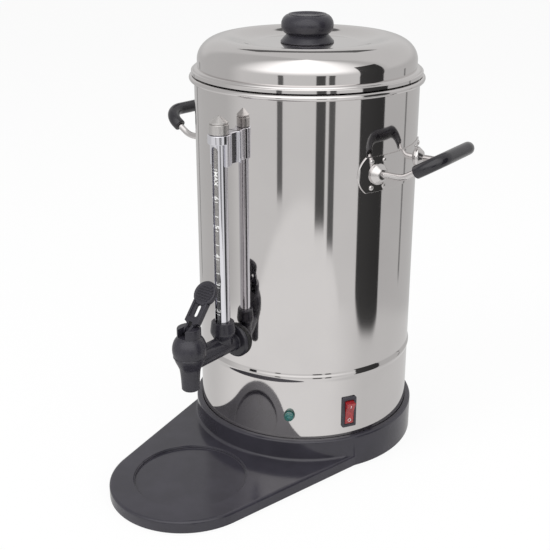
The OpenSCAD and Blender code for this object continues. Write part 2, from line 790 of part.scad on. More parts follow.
module valve_stem() {
    eye_low = pin_z - valve_lift;
    color("#d9d7d0") ahead(tap_reach) difference() {
        union() {
            translate([0, 0, seat_z + 1.4]) cylinder(r = stem_r, h = eye_low - 5 - seat_z - 1.4 + eps);
            translate([-blade_t / 2, -stem_r, eye_low - 5])
                cube([blade_t, 2 * stem_r, 5 + valve_lift + blade_top]);
        }
        translate([0, 0, eye_low]) crossbar(lever_pin_r + seat_gap, 10);
        translate([0, 0, pin_z]) crossbar(lever_pin_r + seat_gap, 10);
        translate([-5, -lever_pin_r - seat_gap, eye_low])
            cube([10, 2 * (lever_pin_r + seat_gap), valve_lift]);
    }
}

module seat_cup() {
    color("#cfc9bd") ahead(tap_reach) difference() {
        turning([[0, seat_z + seat_gap], [cup_skirt_r - 0.6, seat_z + seat_gap], [cup_skirt_r, seat_z + 1],
                 [cup_skirt_r, seat_z + 2.4], [stem_r + 2.4, seat_z + 5], [stem_r + 1.6, seat_z + 9],
                 [0, seat_z + 9]]);
        translate([0, 0, seat_z + 1.4 - fit_gap]) cylinder(r = stem_r + fit_gap, h = far);
    }
}

module tap_gasket() {
    color(rubber) difference() {
        ahead(body_r - 3, barrel_z) spindle(tap_flange_r - 0.4, flange_back - body_r + 3);
        cylinder(r = body_r + fit_gap, h = far, $fn = fine);
        ahead(0, barrel_z) spindle(wall_hole_r, far);
    }
}

module tap_inner_gasket() {
    color(rubber) difference() {
        intersection() {
            ahead(inner_r - 3 - inner_gasket_t, barrel_z) spindle(tap_nut_r - 0.4, 20);
            cylinder(r = inner_r - fit_gap, h = far, $fn = fine);
        }
        ahead(0, barrel_z) spindle(wall_hole_r, far);
    }
}

module tap_nut() {
    color(black) ahead(inner_r - 3 - inner_gasket_t - tap_nut_h, barrel_z) rotate([90, 0, 0])
        hex_nut(tap_nut_r * sqrt(3), tap_nut_h, barrel_r + fit_gap);
}

// ---------------------------------------------------------------- gauge

module gauge_glass() {
    color("#b9c4c4", 0.5) ahead(gauge_reach, socket_z + fit_gap)
        ring(glass_r, glass_r - glass_t, guard_top - socket_z - fit_gap);
}

module gauge_guard() {
    low = socket_z + seal_h + fit_gap;
    color(steel) ahead(gauge_reach) difference() {
        translate([0, 0, low]) ring(guard_r, guard_in, guard_top - low);
        translate([-slot_w / 2, -guard_r - 1, low - 1]) cube([slot_w, guard_r + 1, slot_top - slot_w / 2 - low + 1]);
        translate([0, 0, slot_top - slot_w / 2]) spindle(slot_w / 2, guard_r + 1);
    }
}

module gauge_seals() {
    color(rubber) ahead(gauge_reach) {
        translate([0, 0, socket_z + fit_gap]) ring(guard_r, glass_r + fit_gap, seal_h - fit_gap);
        translate([0, 0, guard_top - 4]) ring(guard_in - fit_gap, glass_r + fit_gap, 3);
    }
}

module gauge_bracket() {
    color(steel) difference() {
        ahead(gauge_reach, bracket_low) union() {
            cylinder(r = bracket_r, h = bracket_top - bracket_low);
            translate([-bracket_web / 2, 0, 0]) cube([bracket_web, gauge_reach - body_r + 6, bracket_top - bracket_low]);
        }
        cylinder(r = body_r + fit_gap, h = far, $fn = fine);
        ahead(gauge_reach) cylinder(r = guard_r + fit_gap, h = far);
        ahead(gauge_reach, bracket_low - 1) translate([-20, -20, 0])
            cube([40, 20 - 1.2, bracket_front_low - bracket_low + 1]);
        ahead(0, bracket_screw_z) spindle(bracket_screw_r + fit_gap, gauge_reach - guard_r - 2.4);
    }
}

module bracket_screw() {
    color(alu) ahead(inner_r - 3.2, bracket_screw_z) {
        spindle(bracket_screw_r, gauge_reach - guard_r - 2.8 - inner_r + 3.2);
        spindle(4, 2.4);
    }
}

module gauge_cap() {
    color(alu) ahead(gauge_reach) difference() {
        turning([[0, cap_z], [cap_r, cap_z], [cap_r, cap_rim_z - 1.4], [cap_r - 0.5, cap_rim_z - 0.9],
                 [cap_r - 0.5, cap_rim_z], [cap_r - 1.6, cap_rim_z + 0.8], [cap_r - 0.9, cap_rim_z + 1.6],
                 [1, cap_top], [0, cap_top]]);
        translate([0, 0, cap_z - 1]) cylinder(r = guard_r + seat_gap, h = guard_top - cap_z + 1 + seat_gap);
    }
}

// ---------------------------------------------------------------- handles

// A straight run of a bent rod along -Y. It is a hair thicker than the bends and laps over their
// ends, so that the runs join cleanly.
module straight_run(r, start, end) translate([0, -(start - lap), 0]) spindle(r + lap_step, end - start + 2 * lap);

// Half a handle's path, from its mounting point at the origin towards -Y
module handle_half(r, whole) {
    leg_end = leg_rise - corner_run;
    rotate([0, 0, splay_angle]) {
        if (whole) {
            straight_run(r, -8, leg_out - leg_run);
            translate([0, leg_run - leg_out, leg_bend_r]) rotate([180, 90, 0])
                rotate_extrude(angle = rise_angle) translate([leg_bend_r, 0]) circle(r);
        }
        translate([0, -leg_out, 0]) rotate([-rise_angle, 0, 0]) {
            straight_run(r, whole ? leg_run : leg_run + sleeve_start, leg_end);
            rotate([0, roll_angle, 0]) translate([-corner_r, -leg_end, 0]) mirror([0, 1, 0])
                rotate_extrude(angle = turn_angle) translate([corner_r, 0]) circle(r);
        }
    }
}

// Both halves and the bar between them. The whole path starts at the body, the other at the sleeve's ends.
module handle_path(r, whole) {
    reach = (leg_out + leg_rise * cos(rise_angle)) * cos(splay_angle);
    translate([0, -mount_base, handle_z]) {
        for (s = [0, 1]) mirror([s, 0, 0]) translate([mount_half, 0, 0]) handle_half(r, whole);
        translate([0, -reach, leg_rise * sin(rise_angle)]) crossbar(r + lap_step, 2 * (bar_half + lap));
    }
}

module rivet_places() {
    a0 = asin(mount_half / body_r);
    da = rivet_dx / 2 / body_r * 180 / PI;
    for (m = [-a0, a0], s = [-1, 1], z = [-1, 1]) turned(m + s * da) ahead(0, handle_z + z * rivet_dz) children();
}

module handle_plate() {
    color(steel) difference() {
        intersection() {
            translate([0, 0, handle_z - plate_h]) ring(plate_face, body_r + fit_gap, 2 * plate_h);
            ahead(0, handle_z) rotate([90, 0, 0]) linear_extrude(far) {
                square([2 * (plate_half - plate_end_r), plate_h], center = true);
                for (s = [-1, 1]) intersection() {
                    translate([s * (plate_half - plate_end_r), 0]) circle(plate_end_r);
                    translate([s * plate_half / 2, 0]) square([plate_half + 1, plate_h], center = true);
                }
            }
        }
        rivet_places() spindle(rivet_r + fit_gap, far);
    }
}

module plate_outside() translate([0, 0, handle_z - 40]) children();

module handle_rod() {
    color(steel) difference() {
        handle_path(rod_r, true);
        plate_outside() cylinder(r = plate_face + fit_gap, h = 80, $fn = fine);
    }
}

module handle_grip() {
    color(black) difference() {
        handle_path(grip_r, false);
        handle_path(rod_r + fit_gap, true);
    }
}

module handle_rosettes() {
    color(steel) difference() {
        for (s = [-1, 1]) turned(s * asin(mount_half / body_r)) ahead(plate_face - 1, handle_z) rotate([90, 0, 0])
            turning([[0, 0], [rosette_r, 0], [rosette_r, 1.8], [rosette_r - 0.6, 2.5], [rod_r + 2.4, rosette_h],
                     [rod_r + 1.4, rosette_h + 1], [0, rosette_h + 1]]);
        plate_outside() cylinder(r = plate_face + fit_gap, h = 80, $fn = fine);
        translate([0, -mount_base, handle_z]) for (s = [-1, 1]) translate([s * mount_half, 0, 0])
            rotate([0, 0, s * splay_angle]) translate([0, 30, 0]) spindle(rod_r + fit_gap, 70);
    }
}

// Rivets: a shank through the plate and a low domed head that clears the plate's curved face
module handle_rivets() {
    color(steel) rivet_places() {
        ahead(body_r + 2 * fit_gap) spindle(rivet_r, handle_plate_t + rivet_clear);
        ahead(plate_face + rivet_clear) rotate([90, 0, 0])
            turning([[0, 0], [rivet_head_r, 0], [rivet_head_r, 0.4], [rivet_head_r - 0.8, 1], [0, 1.2]]);
    }
}

module handle_plate_right() turned(handle_angle) handle_plate();
module handle_rod_right() turned(handle_angle) handle_rod();
module handle_grip_right() turned(handle_angle) handle_grip();
module handle_rosettes_right() turned(handle_angle) handle_rosettes();
module handle_rivets_right() turned(handle_angle) handle_rivets();
module handle_plate_left() turned(-handle_angle) handle_plate();
module handle_rod_left() turned(-handle_angle) handle_rod();
module handle_grip_left() turned(-handle_angle) handle_grip();
module handle_rosettes_left() turned(-handle_angle) handle_rosettes();
module handle_rivets_left() turned(-handle_angle) handle_rivets();

// ---------------------------------------------------------------- lid

// Outer line of the lid's sheet, from the plug's lower edge to the knob's hole
lid_path = concat(
    [[plug_r, rim_z - plug_depth], [plug_r, lip_z], [lid_wall_r, lip_z + 2]],
    arc(crown_r, shoulder_z, shoulder_w, crown_z - shoulder_z, 0, 90, 14),
    [for (i = [1:8]) let (w = i / 8) [crown_r + (dish_r - crown_r) * w, crown_z - dish_depth * (1 - cos(180 * w)) / 2]],
    [[knob_hole_r, dish_z]]);

// Outer line of the rolled flange that rests on the rim
flange_path = concat([[flange_r, lip_z]],
    arc(lid_wall_r, flange_top - (flange_r - lid_wall_r), flange_r - lid_wall_r, flange_r - lid_wall_r, 0, 90, 8));

module lid_shell() {
    color(steel) {
        turning(sheet(lid_path, wall_t));
        turning(sheet(flange_path, wall_t));
    }
}

module lid_knob() {
    neck_r = knob_r * 0.8;
    neck_z = 7;
    wide_z = 16.4;
    top_r = knob_r * 0.7;
    color(black) translate([0, 0, knob_z]) difference() {
        turning(concat(
            [[0, 0], [knob_r, 0], [knob_r, 2.4], [knob_r - 0.8, 3.2], [neck_r + 1.2, 4.9], [neck_r, neck_z]],
            arc(neck_r - 1, wide_z, knob_r - neck_r + 1, wide_z - neck_z - 0.8, -70, 0, 5),
            arc(top_r - 2, wide_z, knob_r - top_r + 2, knob_h - wide_z, 15, 75, 5),
            [[top_r - 0.6, knob_h], [top_r - 1.6, knob_h - 0.4], [top_r - 3, knob_h - 1.8], [0, knob_h - 2.2]]));
        translate([0, 0, -eps]) cylinder(r = knob_hole_r - 0.3, h = 14);
    }
}

module knob_screw() {
    color(alu) {
        translate([0, 0, knob_z - wall_t - 1.2 - 2.4]) cylinder(r = 4, h = 2.4);
        translate([0, 0, knob_z - wall_t - 1.2]) cylinder(r = knob_hole_r - 0.3 - fit_gap, h = 14);
    }
}

module knob_washer() {
    color(alu) translate([0, 0, knob_z - wall_t - 1.2]) ring(7, knob_hole_r, 1.2);
}

// ---------------------------------------------------------------- brewing parts

module perforation(rings, pitch, hole_r, h) {
    for (k = [1:rings]) for (i = [0:6 * k - 1]) rotate([0, 0, 60 * i / k + 7 * k])
        translate([pitch * k + 8, 0, 0]) cylinder(r = hole_r, h = h, $fn = 8);
}

module spreader() {
    color(steel) difference() {
        turning([[tube_r + 2, spreader_z], [spreader_r, spreader_z], [spreader_r, spreader_z + 6],
                 [spreader_r - wall_t, spreader_z + 6], [spreader_r - wall_t, spreader_z + wall_t],
                 [tube_r + 2 + wall_t, spreader_z + wall_t], [tube_r + 2 + wall_t, spreader_z + 4],
                 [tube_r + 2, spreader_z + 4]]);
        translate([0, 0, spreader_z - 1]) perforation(3, 18, 1.6, 4);
    }
}

module basket() {
    color(steel) difference() {
        turning([[basket_tube_r - basket_t, basket_z], [basket_r - 4, basket_z], [basket_r, basket_z + 4],
                 [basket_r, basket_rim_z - 1.4], [basket_r + 2, basket_rim_z - 1.4], [basket_r + 2, basket_rim_z],
                 [basket_r - basket_t, basket_rim_z], [basket_r - basket_t, basket_z + 4.4],
                 [basket_r - 4.4, basket_z + basket_t], [basket_tube_r, basket_z + basket_t],
                 [basket_tube_r, basket_rim_z - 8], [basket_tube_r - basket_t, basket_rim_z - 8]]);
        translate([0, 0, basket_z - 1]) perforation(4, 14, 1.5, 4);
    }
}

module pump_tube() {
    color(steel) {
        difference() {
            union() {
                translate([0, 0, tube_low]) cylinder(r = tube_r, h = tube_top - tube_low);
                translate([0, 0, stop_z]) cylinder(r = stop_r, h = 4);
            }
            translate([0, 0, tube_low - 1]) cylinder(r = tube_r - tube_t, h = far);
        }
    }
}

module pump_foot() {
    color(alu) difference() {
        turning([[tube_r + fit_gap, tube_low], [tube_r + 3, tube_low], [foot_plate_r - 2, well_z + 4.2],
                 [foot_plate_r - 1.4, well_z + seat_gap], [foot_plate_r, well_z + seat_gap],
                 [foot_plate_r, well_z + 5.4], [tube_r + 3, tube_low + 3], [tube_r + 3, tube_low + 12],
                 [tube_r + fit_gap, tube_low + 12]]);
        for (a = [0:60:300]) rotate([0, 0, a]) translate([0, 0, well_z + 2]) rotate([90, 0, 0])
            cylinder(r = 1.2, h = 40);
    }
}

base_tray();
base_plate();
base_screws();
rubber_feet();
heater_skirt();
vessel();
heater_plate();
heating_element();
thermostats();
thermostat_strap();
terminal_block();
centre_stud();
stud_nuts();
power_inlet();
inlet_pins();
switch_housing();
switch_rocker();
lamp_holder();
lamp_lens();
lamp_nut();
tap_body();
tap_bonnet();
tap_lever();
lever_pin();
valve_stem();
seat_cup();
tap_gasket();
tap_inner_gasket();
tap_nut();
gauge_glass();
gauge_guard();
gauge_seals();
gauge_bracket();
bracket_screw();
gauge_cap();
handle_plate_right();
handle_rod_right();
handle_grip_right();
handle_rosettes_right();
handle_rivets_right();
handle_plate_left();
handle_rod_left();
handle_grip_left();
handle_rosettes_left();
handle_rivets_left();
lid_shell();
lid_knob();
knob_screw();
knob_washer();
spreader();
basket();
pump_tube();
pump_foot();
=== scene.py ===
"""Coffee urn: smooth visible pieces, finishes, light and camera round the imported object.

Outlines are in millimetres in the object's own frame: origin on the body's axis at floor level, +Z up and the
tap towards -Y."""
import json
import math

import bpy
from mathutils import Matrix, Vector

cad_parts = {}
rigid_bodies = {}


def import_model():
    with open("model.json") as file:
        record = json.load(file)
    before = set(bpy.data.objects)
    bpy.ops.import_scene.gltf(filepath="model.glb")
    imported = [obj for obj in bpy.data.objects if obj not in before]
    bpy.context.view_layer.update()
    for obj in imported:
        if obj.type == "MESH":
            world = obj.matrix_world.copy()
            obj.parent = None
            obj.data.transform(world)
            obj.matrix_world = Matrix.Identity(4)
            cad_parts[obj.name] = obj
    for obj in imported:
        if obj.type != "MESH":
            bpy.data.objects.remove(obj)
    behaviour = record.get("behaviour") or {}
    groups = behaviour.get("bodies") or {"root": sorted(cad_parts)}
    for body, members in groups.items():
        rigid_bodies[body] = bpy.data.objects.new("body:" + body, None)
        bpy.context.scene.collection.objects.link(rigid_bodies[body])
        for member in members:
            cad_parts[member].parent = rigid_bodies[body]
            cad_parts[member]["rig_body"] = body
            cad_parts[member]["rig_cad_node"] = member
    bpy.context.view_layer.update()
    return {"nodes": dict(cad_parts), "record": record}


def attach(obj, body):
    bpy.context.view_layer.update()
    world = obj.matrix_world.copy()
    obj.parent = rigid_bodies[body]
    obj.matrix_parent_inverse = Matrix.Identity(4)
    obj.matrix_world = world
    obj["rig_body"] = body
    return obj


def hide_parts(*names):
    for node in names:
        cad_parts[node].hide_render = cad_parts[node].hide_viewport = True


bl_info = {
    "name": "Coffee urn",
    "version": (1, 0, 0),
    "blender": (4, 5, 0),
    "location": "View3D > Sidebar > Coffee urn",
    "description": "Builds the visible pieces of a coffee urn, its finishes and its studio",
    "category": "Add Mesh",
}

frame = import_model()
NODES = frame["nodes"]

MM = 0.001
FULL_TURN = 2 * math.pi
MERGE = 0.000002
SLIVER = 0.00002
FINE_GRAIN = 0.000002
WHITE = (1, 1, 1)
EVEN = (1, 1, 1)

# Sizes shared by several pieces, in millimetres
BODY_R = 107.5
WALL = 0.8
INNER_R = BODY_R - WALL
SKIRT_FOOT = 6.2
SEAM_Z = 105
RIM_Z = 368.8
WALL_CUT = 97
CONTROL_Z = 60
LAMP_ANGLE = 30
SWITCH_ANGLE = 61.4
TAP_REACH = 173
BARREL_Z = 130
PIN_Z = 162.7
LEVER_LEAN = 39.6
GAUGE_REACH = 127
GLASS_R = 5.4
GUARD_R = 7.2
TUBE_TOP = 338
SCREW_Z = 321.2
HANDLE_ANGLE = 93.5
HANDLE_Z = 296.5
MOUNT_HALF = 36.4
PLATE_FACE = 108.75
ROD_R = 3.1
GRIP_R = 6.1


# ------------------------------------------------------------------ sizes and colours a user may change

def length(**settings):
    return bpy.props.FloatProperty(unit="LENGTH", **settings)


def tint(**settings):
    return bpy.props.FloatVectorProperty(subtype="COLOR", size=3, min=0, max=1, **settings)


class UrnSizes(bpy.types.PropertyGroup):
    """Sizes of the finer detail, in metres."""
    edge_round: length(
        name="Edge rounding", description="Radius on the edges of the moulded and pressed pieces",
        default=0.0004, min=0.0001, max=0.001, precision=5)
    round_steps: bpy.props.IntProperty(
        name="Steps round the body", description="Steps in which the body and the lid are turned",
        default=256, min=64, max=512)
    numeral_height: length(name="Numeral height", description="Height of the numbers on the level gauge",
                           default=0.0044, min=0.002, max=0.006, precision=4)
    tick_width: length(name="Scale mark thickness", description="Thickness of the lines on the level gauge",
                       default=0.0009, min=0.0003, max=0.0015, precision=4)
    grain: length(name="Moulding grain", description="Size of the fine grain on the black mouldings",
                  default=0.0008, min=0.0003, max=0.003, precision=4)


class UrnColours(bpy.types.PropertyGroup):
    """Colours of the finishes."""
    steel: tint(name="Steel", description="Colour of the polished steel", default=(0.70, 0.678, 0.675))
    moulding: tint(name="Black moulding", description="Colour of the base, the tap and the knob",
                   default=(0.034, 0.032, 0.042))
    rocker: tint(name="Rocker", description="Colour of the switch's rocker", default=(0.32, 0.019, 0.024))
    lens: tint(name="Lamp lens", description="Colour of the lamp's lens", default=(0.016, 0.115, 0.108))
    marks: tint(name="Marks", description="Colour of the scale and of the switch's signs",
                default=(0.85, 0.85, 0.84))


# ------------------------------------------------------------------ shader maths

class Wire:
    """A node socket that takes part in sums. Each operator adds one Math node."""

    def __init__(self, finish, socket):
        self.finish, self.socket = finish, socket

    def __getitem__(self, output):
        return Wire(self.finish, self.socket.node.outputs[output])

    def __add__(self, other):
        return self.finish.maths("ADD", self, other)

    def __sub__(self, other):
        return self.finish.maths("SUBTRACT", self, other)

    def __rsub__(self, other):
        return self.finish.maths("SUBTRACT", other, self)

    def __mul__(self, other):
        return self.finish.maths("MULTIPLY", self, other)

    def __pow__(self, other):
        return self.finish.maths("POWER", self, other)

    __radd__ = __add__
    __rmul__ = __mul__

    def highest(self, other):
        return self.finish.maths("MAXIMUM", self, other)

    def rise(self, low, high):
        """0 below low and 1 above high, with a smooth step between them."""
        return self.finish.node("ShaderNodeMapRange", {"interpolation_type": "SMOOTHSTEP"},
                                {"Value": self, "From Min": low, "From Max": high})

    def band(self, low, high, soft):
        """1 between low and high, 0 outside, with soft edges."""
        return self.rise(low - soft, low + soft) * (1 - self.rise(high - soft, high + soft))


class Finish:
    """A node tree, built from expressions."""

    def __init__(self, tree):
        self.tree = tree
        tree.nodes.clear()

    def node(self, kind, settings=None, inputs=None):
        """Adds a node with its settings and inputs."""
        made = self.tree.nodes.new(kind)
        for name, value in (settings or {}).items():
            setattr(made, name, value)
        for name, value in (inputs or {}).items():
            self.give(made.inputs[name], value)
        return Wire(self, next(socket for socket in made.outputs if socket.enabled))

    def give(self, socket, value):
        """Joins a wire to a socket, or sets the socket's value."""
        if isinstance(value, Wire):
            self.tree.links.new(value.socket, socket)
        else:
            socket.default_value = (*value, 1) if socket.type == "RGBA" else value

    def maths(self, operation, *values):
        return self.node("ShaderNodeMath", {"operation": operation}, dict(enumerate(values)))

    def place(self, stretch=(1, 1, 1)):
        """Object coordinates in metres, stretched."""
        return self.node("ShaderNodeMapping", None, {"Vector": self.node("ShaderNodeTexCoord")["Object"],
                                                     "Scale": stretch})

    def noise(self, size, detail=2, stretch=(1, 1, 1)):
        """Smooth noise from 0 to 1, whose lumps are about size metres wide."""
        return self.node("ShaderNodeTexNoise", None,
                         {"Vector": self.place(stretch), "Scale": 1 / size, "Detail": detail})["Fac"]

    def mix(self, factor, first, second):
        node = self.node("ShaderNodeMix", {"data_type": "RGBA"}, {"Factor": factor}).socket.node
        self.give(node.inputs[6], first)
        self.give(node.inputs[7], second)
        return Wire(self, node.outputs[2])

    def tarnished(self, colour, cloud, rubbed):
        """A metal's colour with faint clouds, darker where it is rubbed."""
        return self.mix(self.noise(0.05, 3).rise(0.35, 0.7) * 0.6 + rubbed * 0.3, shade(colour, 1 + cloud),
                        shade(colour, 1 - cloud * 2))

    def bump(self, height, distance, strength=1.0):
        return self.node("ShaderNodeBump", None, {"Height": height, "Distance": distance, "Strength": strength})

    def surface(self, **inputs):
        """The Principled shader, from inputs written as words with underscores, joined to the output."""
        names = {name: name.replace("_", " ") for name in inputs}
        names.update(Specular_IOR_Level="Specular IOR Level", IOR="IOR")
        shader = self.node("ShaderNodeBsdfPrincipled", None, {names[k]: v for k, v in inputs.items()})
        self.node_out(shader)

    def node_out(self, shader, kind="ShaderNodeOutputMaterial"):
        made = self.tree.nodes.new(kind)
        self.tree.links.new(shader.socket, made.inputs["Surface"])


def new_finish(name):
    material = bpy.data.materials.new(name)
    material.use_nodes = True
    return material, Finish(material.node_tree)


def colours():
    return bpy.context.scene.urn_colours


def sizes():
    return bpy.context.scene.urn_sizes


def shade(colour, factor):
    return tuple(min(1, c * factor) for c in colour)


# ------------------------------------------------------------------ finishes

def metal(name, colour, roughness, spread, cloud=0.04, brushed=0.0, stretch=(1, 1, 40)):
    """A metal with faint cloudy tarnish, rubbed marks and, where brushed is above 0, a brushed lay."""
    material, f = new_finish(name)
    rubbed = f.noise(0.0016, 2, stretch)
    rough = roughness + (rubbed - 0.5) * spread + (f.noise(0.02, 2) - 0.5) * spread
    extra = {"Normal": f.bump(rubbed, 0.00002, brushed)} if brushed else {}
    f.surface(Base_Color=f.tarnished(colour, cloud, rubbed), Metallic=1.0, Roughness=rough, **extra)
    return material


def vessel_steel(name, colour):
    """Polished steel outside, and a satin inside that scatters the light which falls in."""
    material, f = new_finish(name)
    place = f.node("ShaderNodeSeparateXYZ", None, {"Vector": f.place()})
    reach = (place["X"] * place["X"] + place["Y"] * place["Y"]) ** 0.5
    above = place["Z"].rise((RIM_Z - 0.3) * MM, (RIM_Z - 0.1) * MM)
    outside = reach.rise((INNER_R + 0.15) * MM, (INNER_R + 0.25) * MM).highest(above)
    lay = f.noise(0.0016, 2, (1, 1, 40))
    f.surface(Base_Color=f.tarnished(colour, 0.015, 0.5), Metallic=0.25 + outside * 0.75,
              Roughness=0.34 - outside * 0.285 + (lay - 0.5) * 0.04)
    return material


def moulded(name, colour, roughness, grain=0.00001, gloss=0.0):
    """A moulded plastic or rubber with a fine grain, soft flow marks and light handling marks."""
    material, f = new_finish(name)
    pebble = f.noise(sizes().grain, 2)
    flow = f.noise(0.03, 3)
    tint = f.mix(flow.rise(0.3, 0.75), shade(colour, 0.9), shade(colour, 1.18))
    rough = roughness + (flow - 0.5) * 0.10 + (f.noise(0.004, 2) - 0.5) * 0.08
    f.surface(Base_Color=tint, Roughness=rough, Normal=f.bump(pebble, grain, 0.5), Coat_Weight=gloss,
              Coat_Roughness=0.08)
    return material


def clear_glass(name):
    """The gauge's tube: glass that is milky with lime above and darker in its foot, with faint drops on it."""
    material, f = new_finish(name)
    drops = f.noise(0.0012, 2).rise(0.62, 0.7)
    height = f.node("ShaderNodeSeparateXYZ", None, {"Vector": f.place()})["Z"]
    milk = f.mix(f.noise(0.02, 2), (0.36, 0.345, 0.335), (0.44, 0.425, 0.415))
    tint = f.mix(height.rise(0.185, 0.215), (0.14, 0.14, 0.15), milk)
    f.surface(Base_Color=tint, Roughness=0.03 + drops * 0.05, Transmission_Weight=0.4, IOR=1.45)
    return material


def tinted(name, colour, painted_glow):
    """A translucent coloured plastic, darker in places, with a faint painted glow: emission in its own tint
    that paints light onto a part that is not lit.
    """
    material, f = new_finish(name)
    deep = f.noise(0.0025, 2).rise(0.3, 0.7)
    tint = f.mix(deep, shade(colour, 1.15), shade(colour, 0.72))
    # The emission here is painted light: the plastic glows in its own tint though nothing lights it.
    f.surface(Base_Color=tint, Roughness=0.16 + (f.noise(0.001, 2) - 0.5) * 0.08, Coat_Weight=0.6,
              Coat_Roughness=0.04, Subsurface_Weight=0.25, Subsurface_Scale=0.002,
              Emission_Color=tint, Emission_Strength=painted_glow)
    return material


def make_finishes():
    """All finishes, by name: most stand for the record's material slot of that name."""
    steel, black = tuple(colours().steel), tuple(colours().moulding)
    rows = {
        "polished_steel": (metal, steel, 0.055, 0.03, 0.015),
        "vessel_steel": (vessel_steel, steel),
        "soft_steel": (metal, shade(steel, 0.95), 0.17, 0.05, 0.02),
        "satin_steel": (metal, shade(steel, 0.95), 0.26, 0.12, 0.04, 0.5, (1, 1, 60)),
        "zinc_sheet": (metal, (0.52, 0.53, 0.54), 0.38, 0.2, 0.1, 0.3, EVEN),
        "dark_steel": (metal, (0.24, 0.225, 0.21), 0.42, 0.2, 0.12, 0.3, EVEN),
        "cast_aluminium": (metal, (0.60, 0.60, 0.59), 0.46, 0.2, 0.08, 0.6, EVEN),
        "grey_metal": (metal, (0.66, 0.64, 0.63), 0.36, 0.10, 0.05, 0.2, EVEN),
        "chrome": (metal, (0.83, 0.825, 0.875), 0.05, 0.02, 0.01),
        "brass": (metal, (0.70, 0.50, 0.20), 0.24, 0.12, 0.06, 0.3, EVEN),
        "black_plastic": (moulded, black, 0.33),
        "base_plastic": (moulded, black, 0.15, FINE_GRAIN),
        "tap_plastic": (moulded, shade(black, 0.75), 0.27, FINE_GRAIN),
        "grip_plastic": (moulded, shade(black, 0.4), 0.2, FINE_GRAIN, 0.25),
        "ivory_plastic": (moulded, (0.74, 0.70, 0.60), 0.42),
        "ceramic_white": (moulded, (0.80, 0.79, 0.76), 0.5),
        "dark_green_plastic": (moulded, (0.012, 0.06, 0.05), 0.25, FINE_GRAIN * 2, 0.4),
        # The last number of the next two rows is a painted glow: emission that makes the lens and the rocker
        # look lit from within.
        "green_lens": (tinted, tuple(colours().lens), 0.12),
        "red_plastic": (tinted, tuple(colours().rocker), 0.06),
        "rubber": (moulded, (0.018, 0.018, 0.018), 0.68),
        "silicone": (moulded, (0.62, 0.58, 0.50), 0.5),
        "gauge_glass": (clear_glass,),
        "white_marks": (moulded, tuple(colours().marks), 0.5, FINE_GRAIN * 2),
    }
    return {name: maker(name, *values) for name, (maker, *values) in rows.items()}


FINISHES = {}


# ------------------------------------------------------------------ modelling helpers

def leave_edit():
    bpy.ops.object.mode_set(mode="OBJECT")


def clear():
    """Leaves edit mode and deselects everything."""
    if bpy.context.mode != "OBJECT":
        leave_edit()
    bpy.ops.object.select_all(action="DESELECT")


def named(name):
    """Names the active object and its data."""
    obj = bpy.context.object
    obj.name = obj.data.name = name
    return obj


def take(obj):
    """Selects one object alone and makes it active."""
    clear()
    obj.select_set(True)
    bpy.context.view_layer.objects.active = obj
    return obj


def edit(obj):
    """Opens one object in edit mode with all of it selected."""
    take(obj)
    bpy.ops.object.mode_set(mode="EDIT")
    bpy.ops.mesh.select_mode(type="VERT")
    bpy.ops.mesh.select_all(action="SELECT")
    return obj


def close_up(obj, sharp=35, outwards=True):
    """Merges doubled points, turns the faces outwards and shades smooth up to an angle."""
    edit(obj)
    bpy.ops.mesh.remove_doubles(threshold=MERGE)
    if outwards:
        bpy.ops.mesh.normals_make_consistent(inside=False)
    leave_edit()
    bpy.ops.object.shade_smooth_by_angle(angle=math.radians(sharp))
    return obj


def settle(obj, matrix=None):
    """Puts a piece in its place and leaves its object at the origin, unturned and unscaled."""
    take(obj)
    if matrix is not None:
        obj.matrix_world = matrix
    bpy.ops.object.transform_apply(location=True, rotation=True, scale=True)
    return obj


def arc(cx, cy, rx, ry, start, end, steps):
    """Points on an arc, or on an ellipse's where the two radii differ. Angles in degrees."""
    return [(cx + rx * math.cos(a), cy + ry * math.sin(a))
            for a in (math.radians(start + (end - start) * i / steps) for i in range(steps + 1))]


def beside(points, offset):
    """The same line, moved sideways by an offset to the left of its direction."""
    moved = []
    for i, point in enumerate(points):
        along = (Vector(points[min(i + 1, len(points) - 1)]) - Vector(points[max(i - 1, 0)])).normalized()
        moved.append((point[0] - along.y * offset, point[1] + along.x * offset))
    return moved


def sheet(points, thickness):
    """Closed outline of a sheet that follows a line."""
    return list(points) + beside(points, thickness)[::-1]


def thread(name, points):
    """A line of edges through points, left in edit mode and all selected."""
    clear()
    bpy.ops.mesh.primitive_plane_add(size=0.002, location=[c * MM for c in points[0]])
    obj = edit(settle(named(name)))
    bpy.ops.mesh.merge(type="CENTER")
    for a, b in zip(points, points[1:]):
        bpy.ops.mesh.extrude_vertices_move(TRANSFORM_OT_translate={"value": (Vector(b) - Vector(a)) * MM})
    bpy.ops.mesh.select_all(action="SELECT")
    return obj


def turned(name, outline, hollow=False, steps=96, sharp=35, matrix=None):
    """A piece turned round +Z from an outline of (radius, height), which a hollow one closes on itself."""
    points = [(r, 0, z) for r, z in outline]
    obj = thread(name, points + points[:1] if hollow else points)
    bpy.ops.mesh.spin(steps=steps, angle=FULL_TURN, center=(0, 0, 0), axis=(0, 0, 1))
    close_up(obj, sharp)
    return settle(obj, matrix) if matrix is not None else obj


def mirrored(upper):
    """The whole outline of a turned piece, from its upper half."""
    return [(r, -z) for r, z in upper] + upper[::-1]


def pressed(name, path, sharp=35):
    """A piece of sheet steel, turned round +Z from the line that it follows."""
    return turned(name, sheet(path, WALL), True, steps=sizes().round_steps, sharp=sharp)


def peg(radius, low, high, matrix=None, steps=96, name="peg"):
    """A round bar along +Z, mostly to cut a bore with."""
    return turned(name, [(0, low), (radius, low), (radius, high), (0, high)], steps=steps, matrix=matrix)


def tube(name, outer, inner, low, high, steps, matrix=None):
    """A tube along +Z."""
    outline = [(outer, low), (outer, high), (inner, high), (inner, low)]
    return turned(name, outline, True, steps=steps, matrix=matrix)


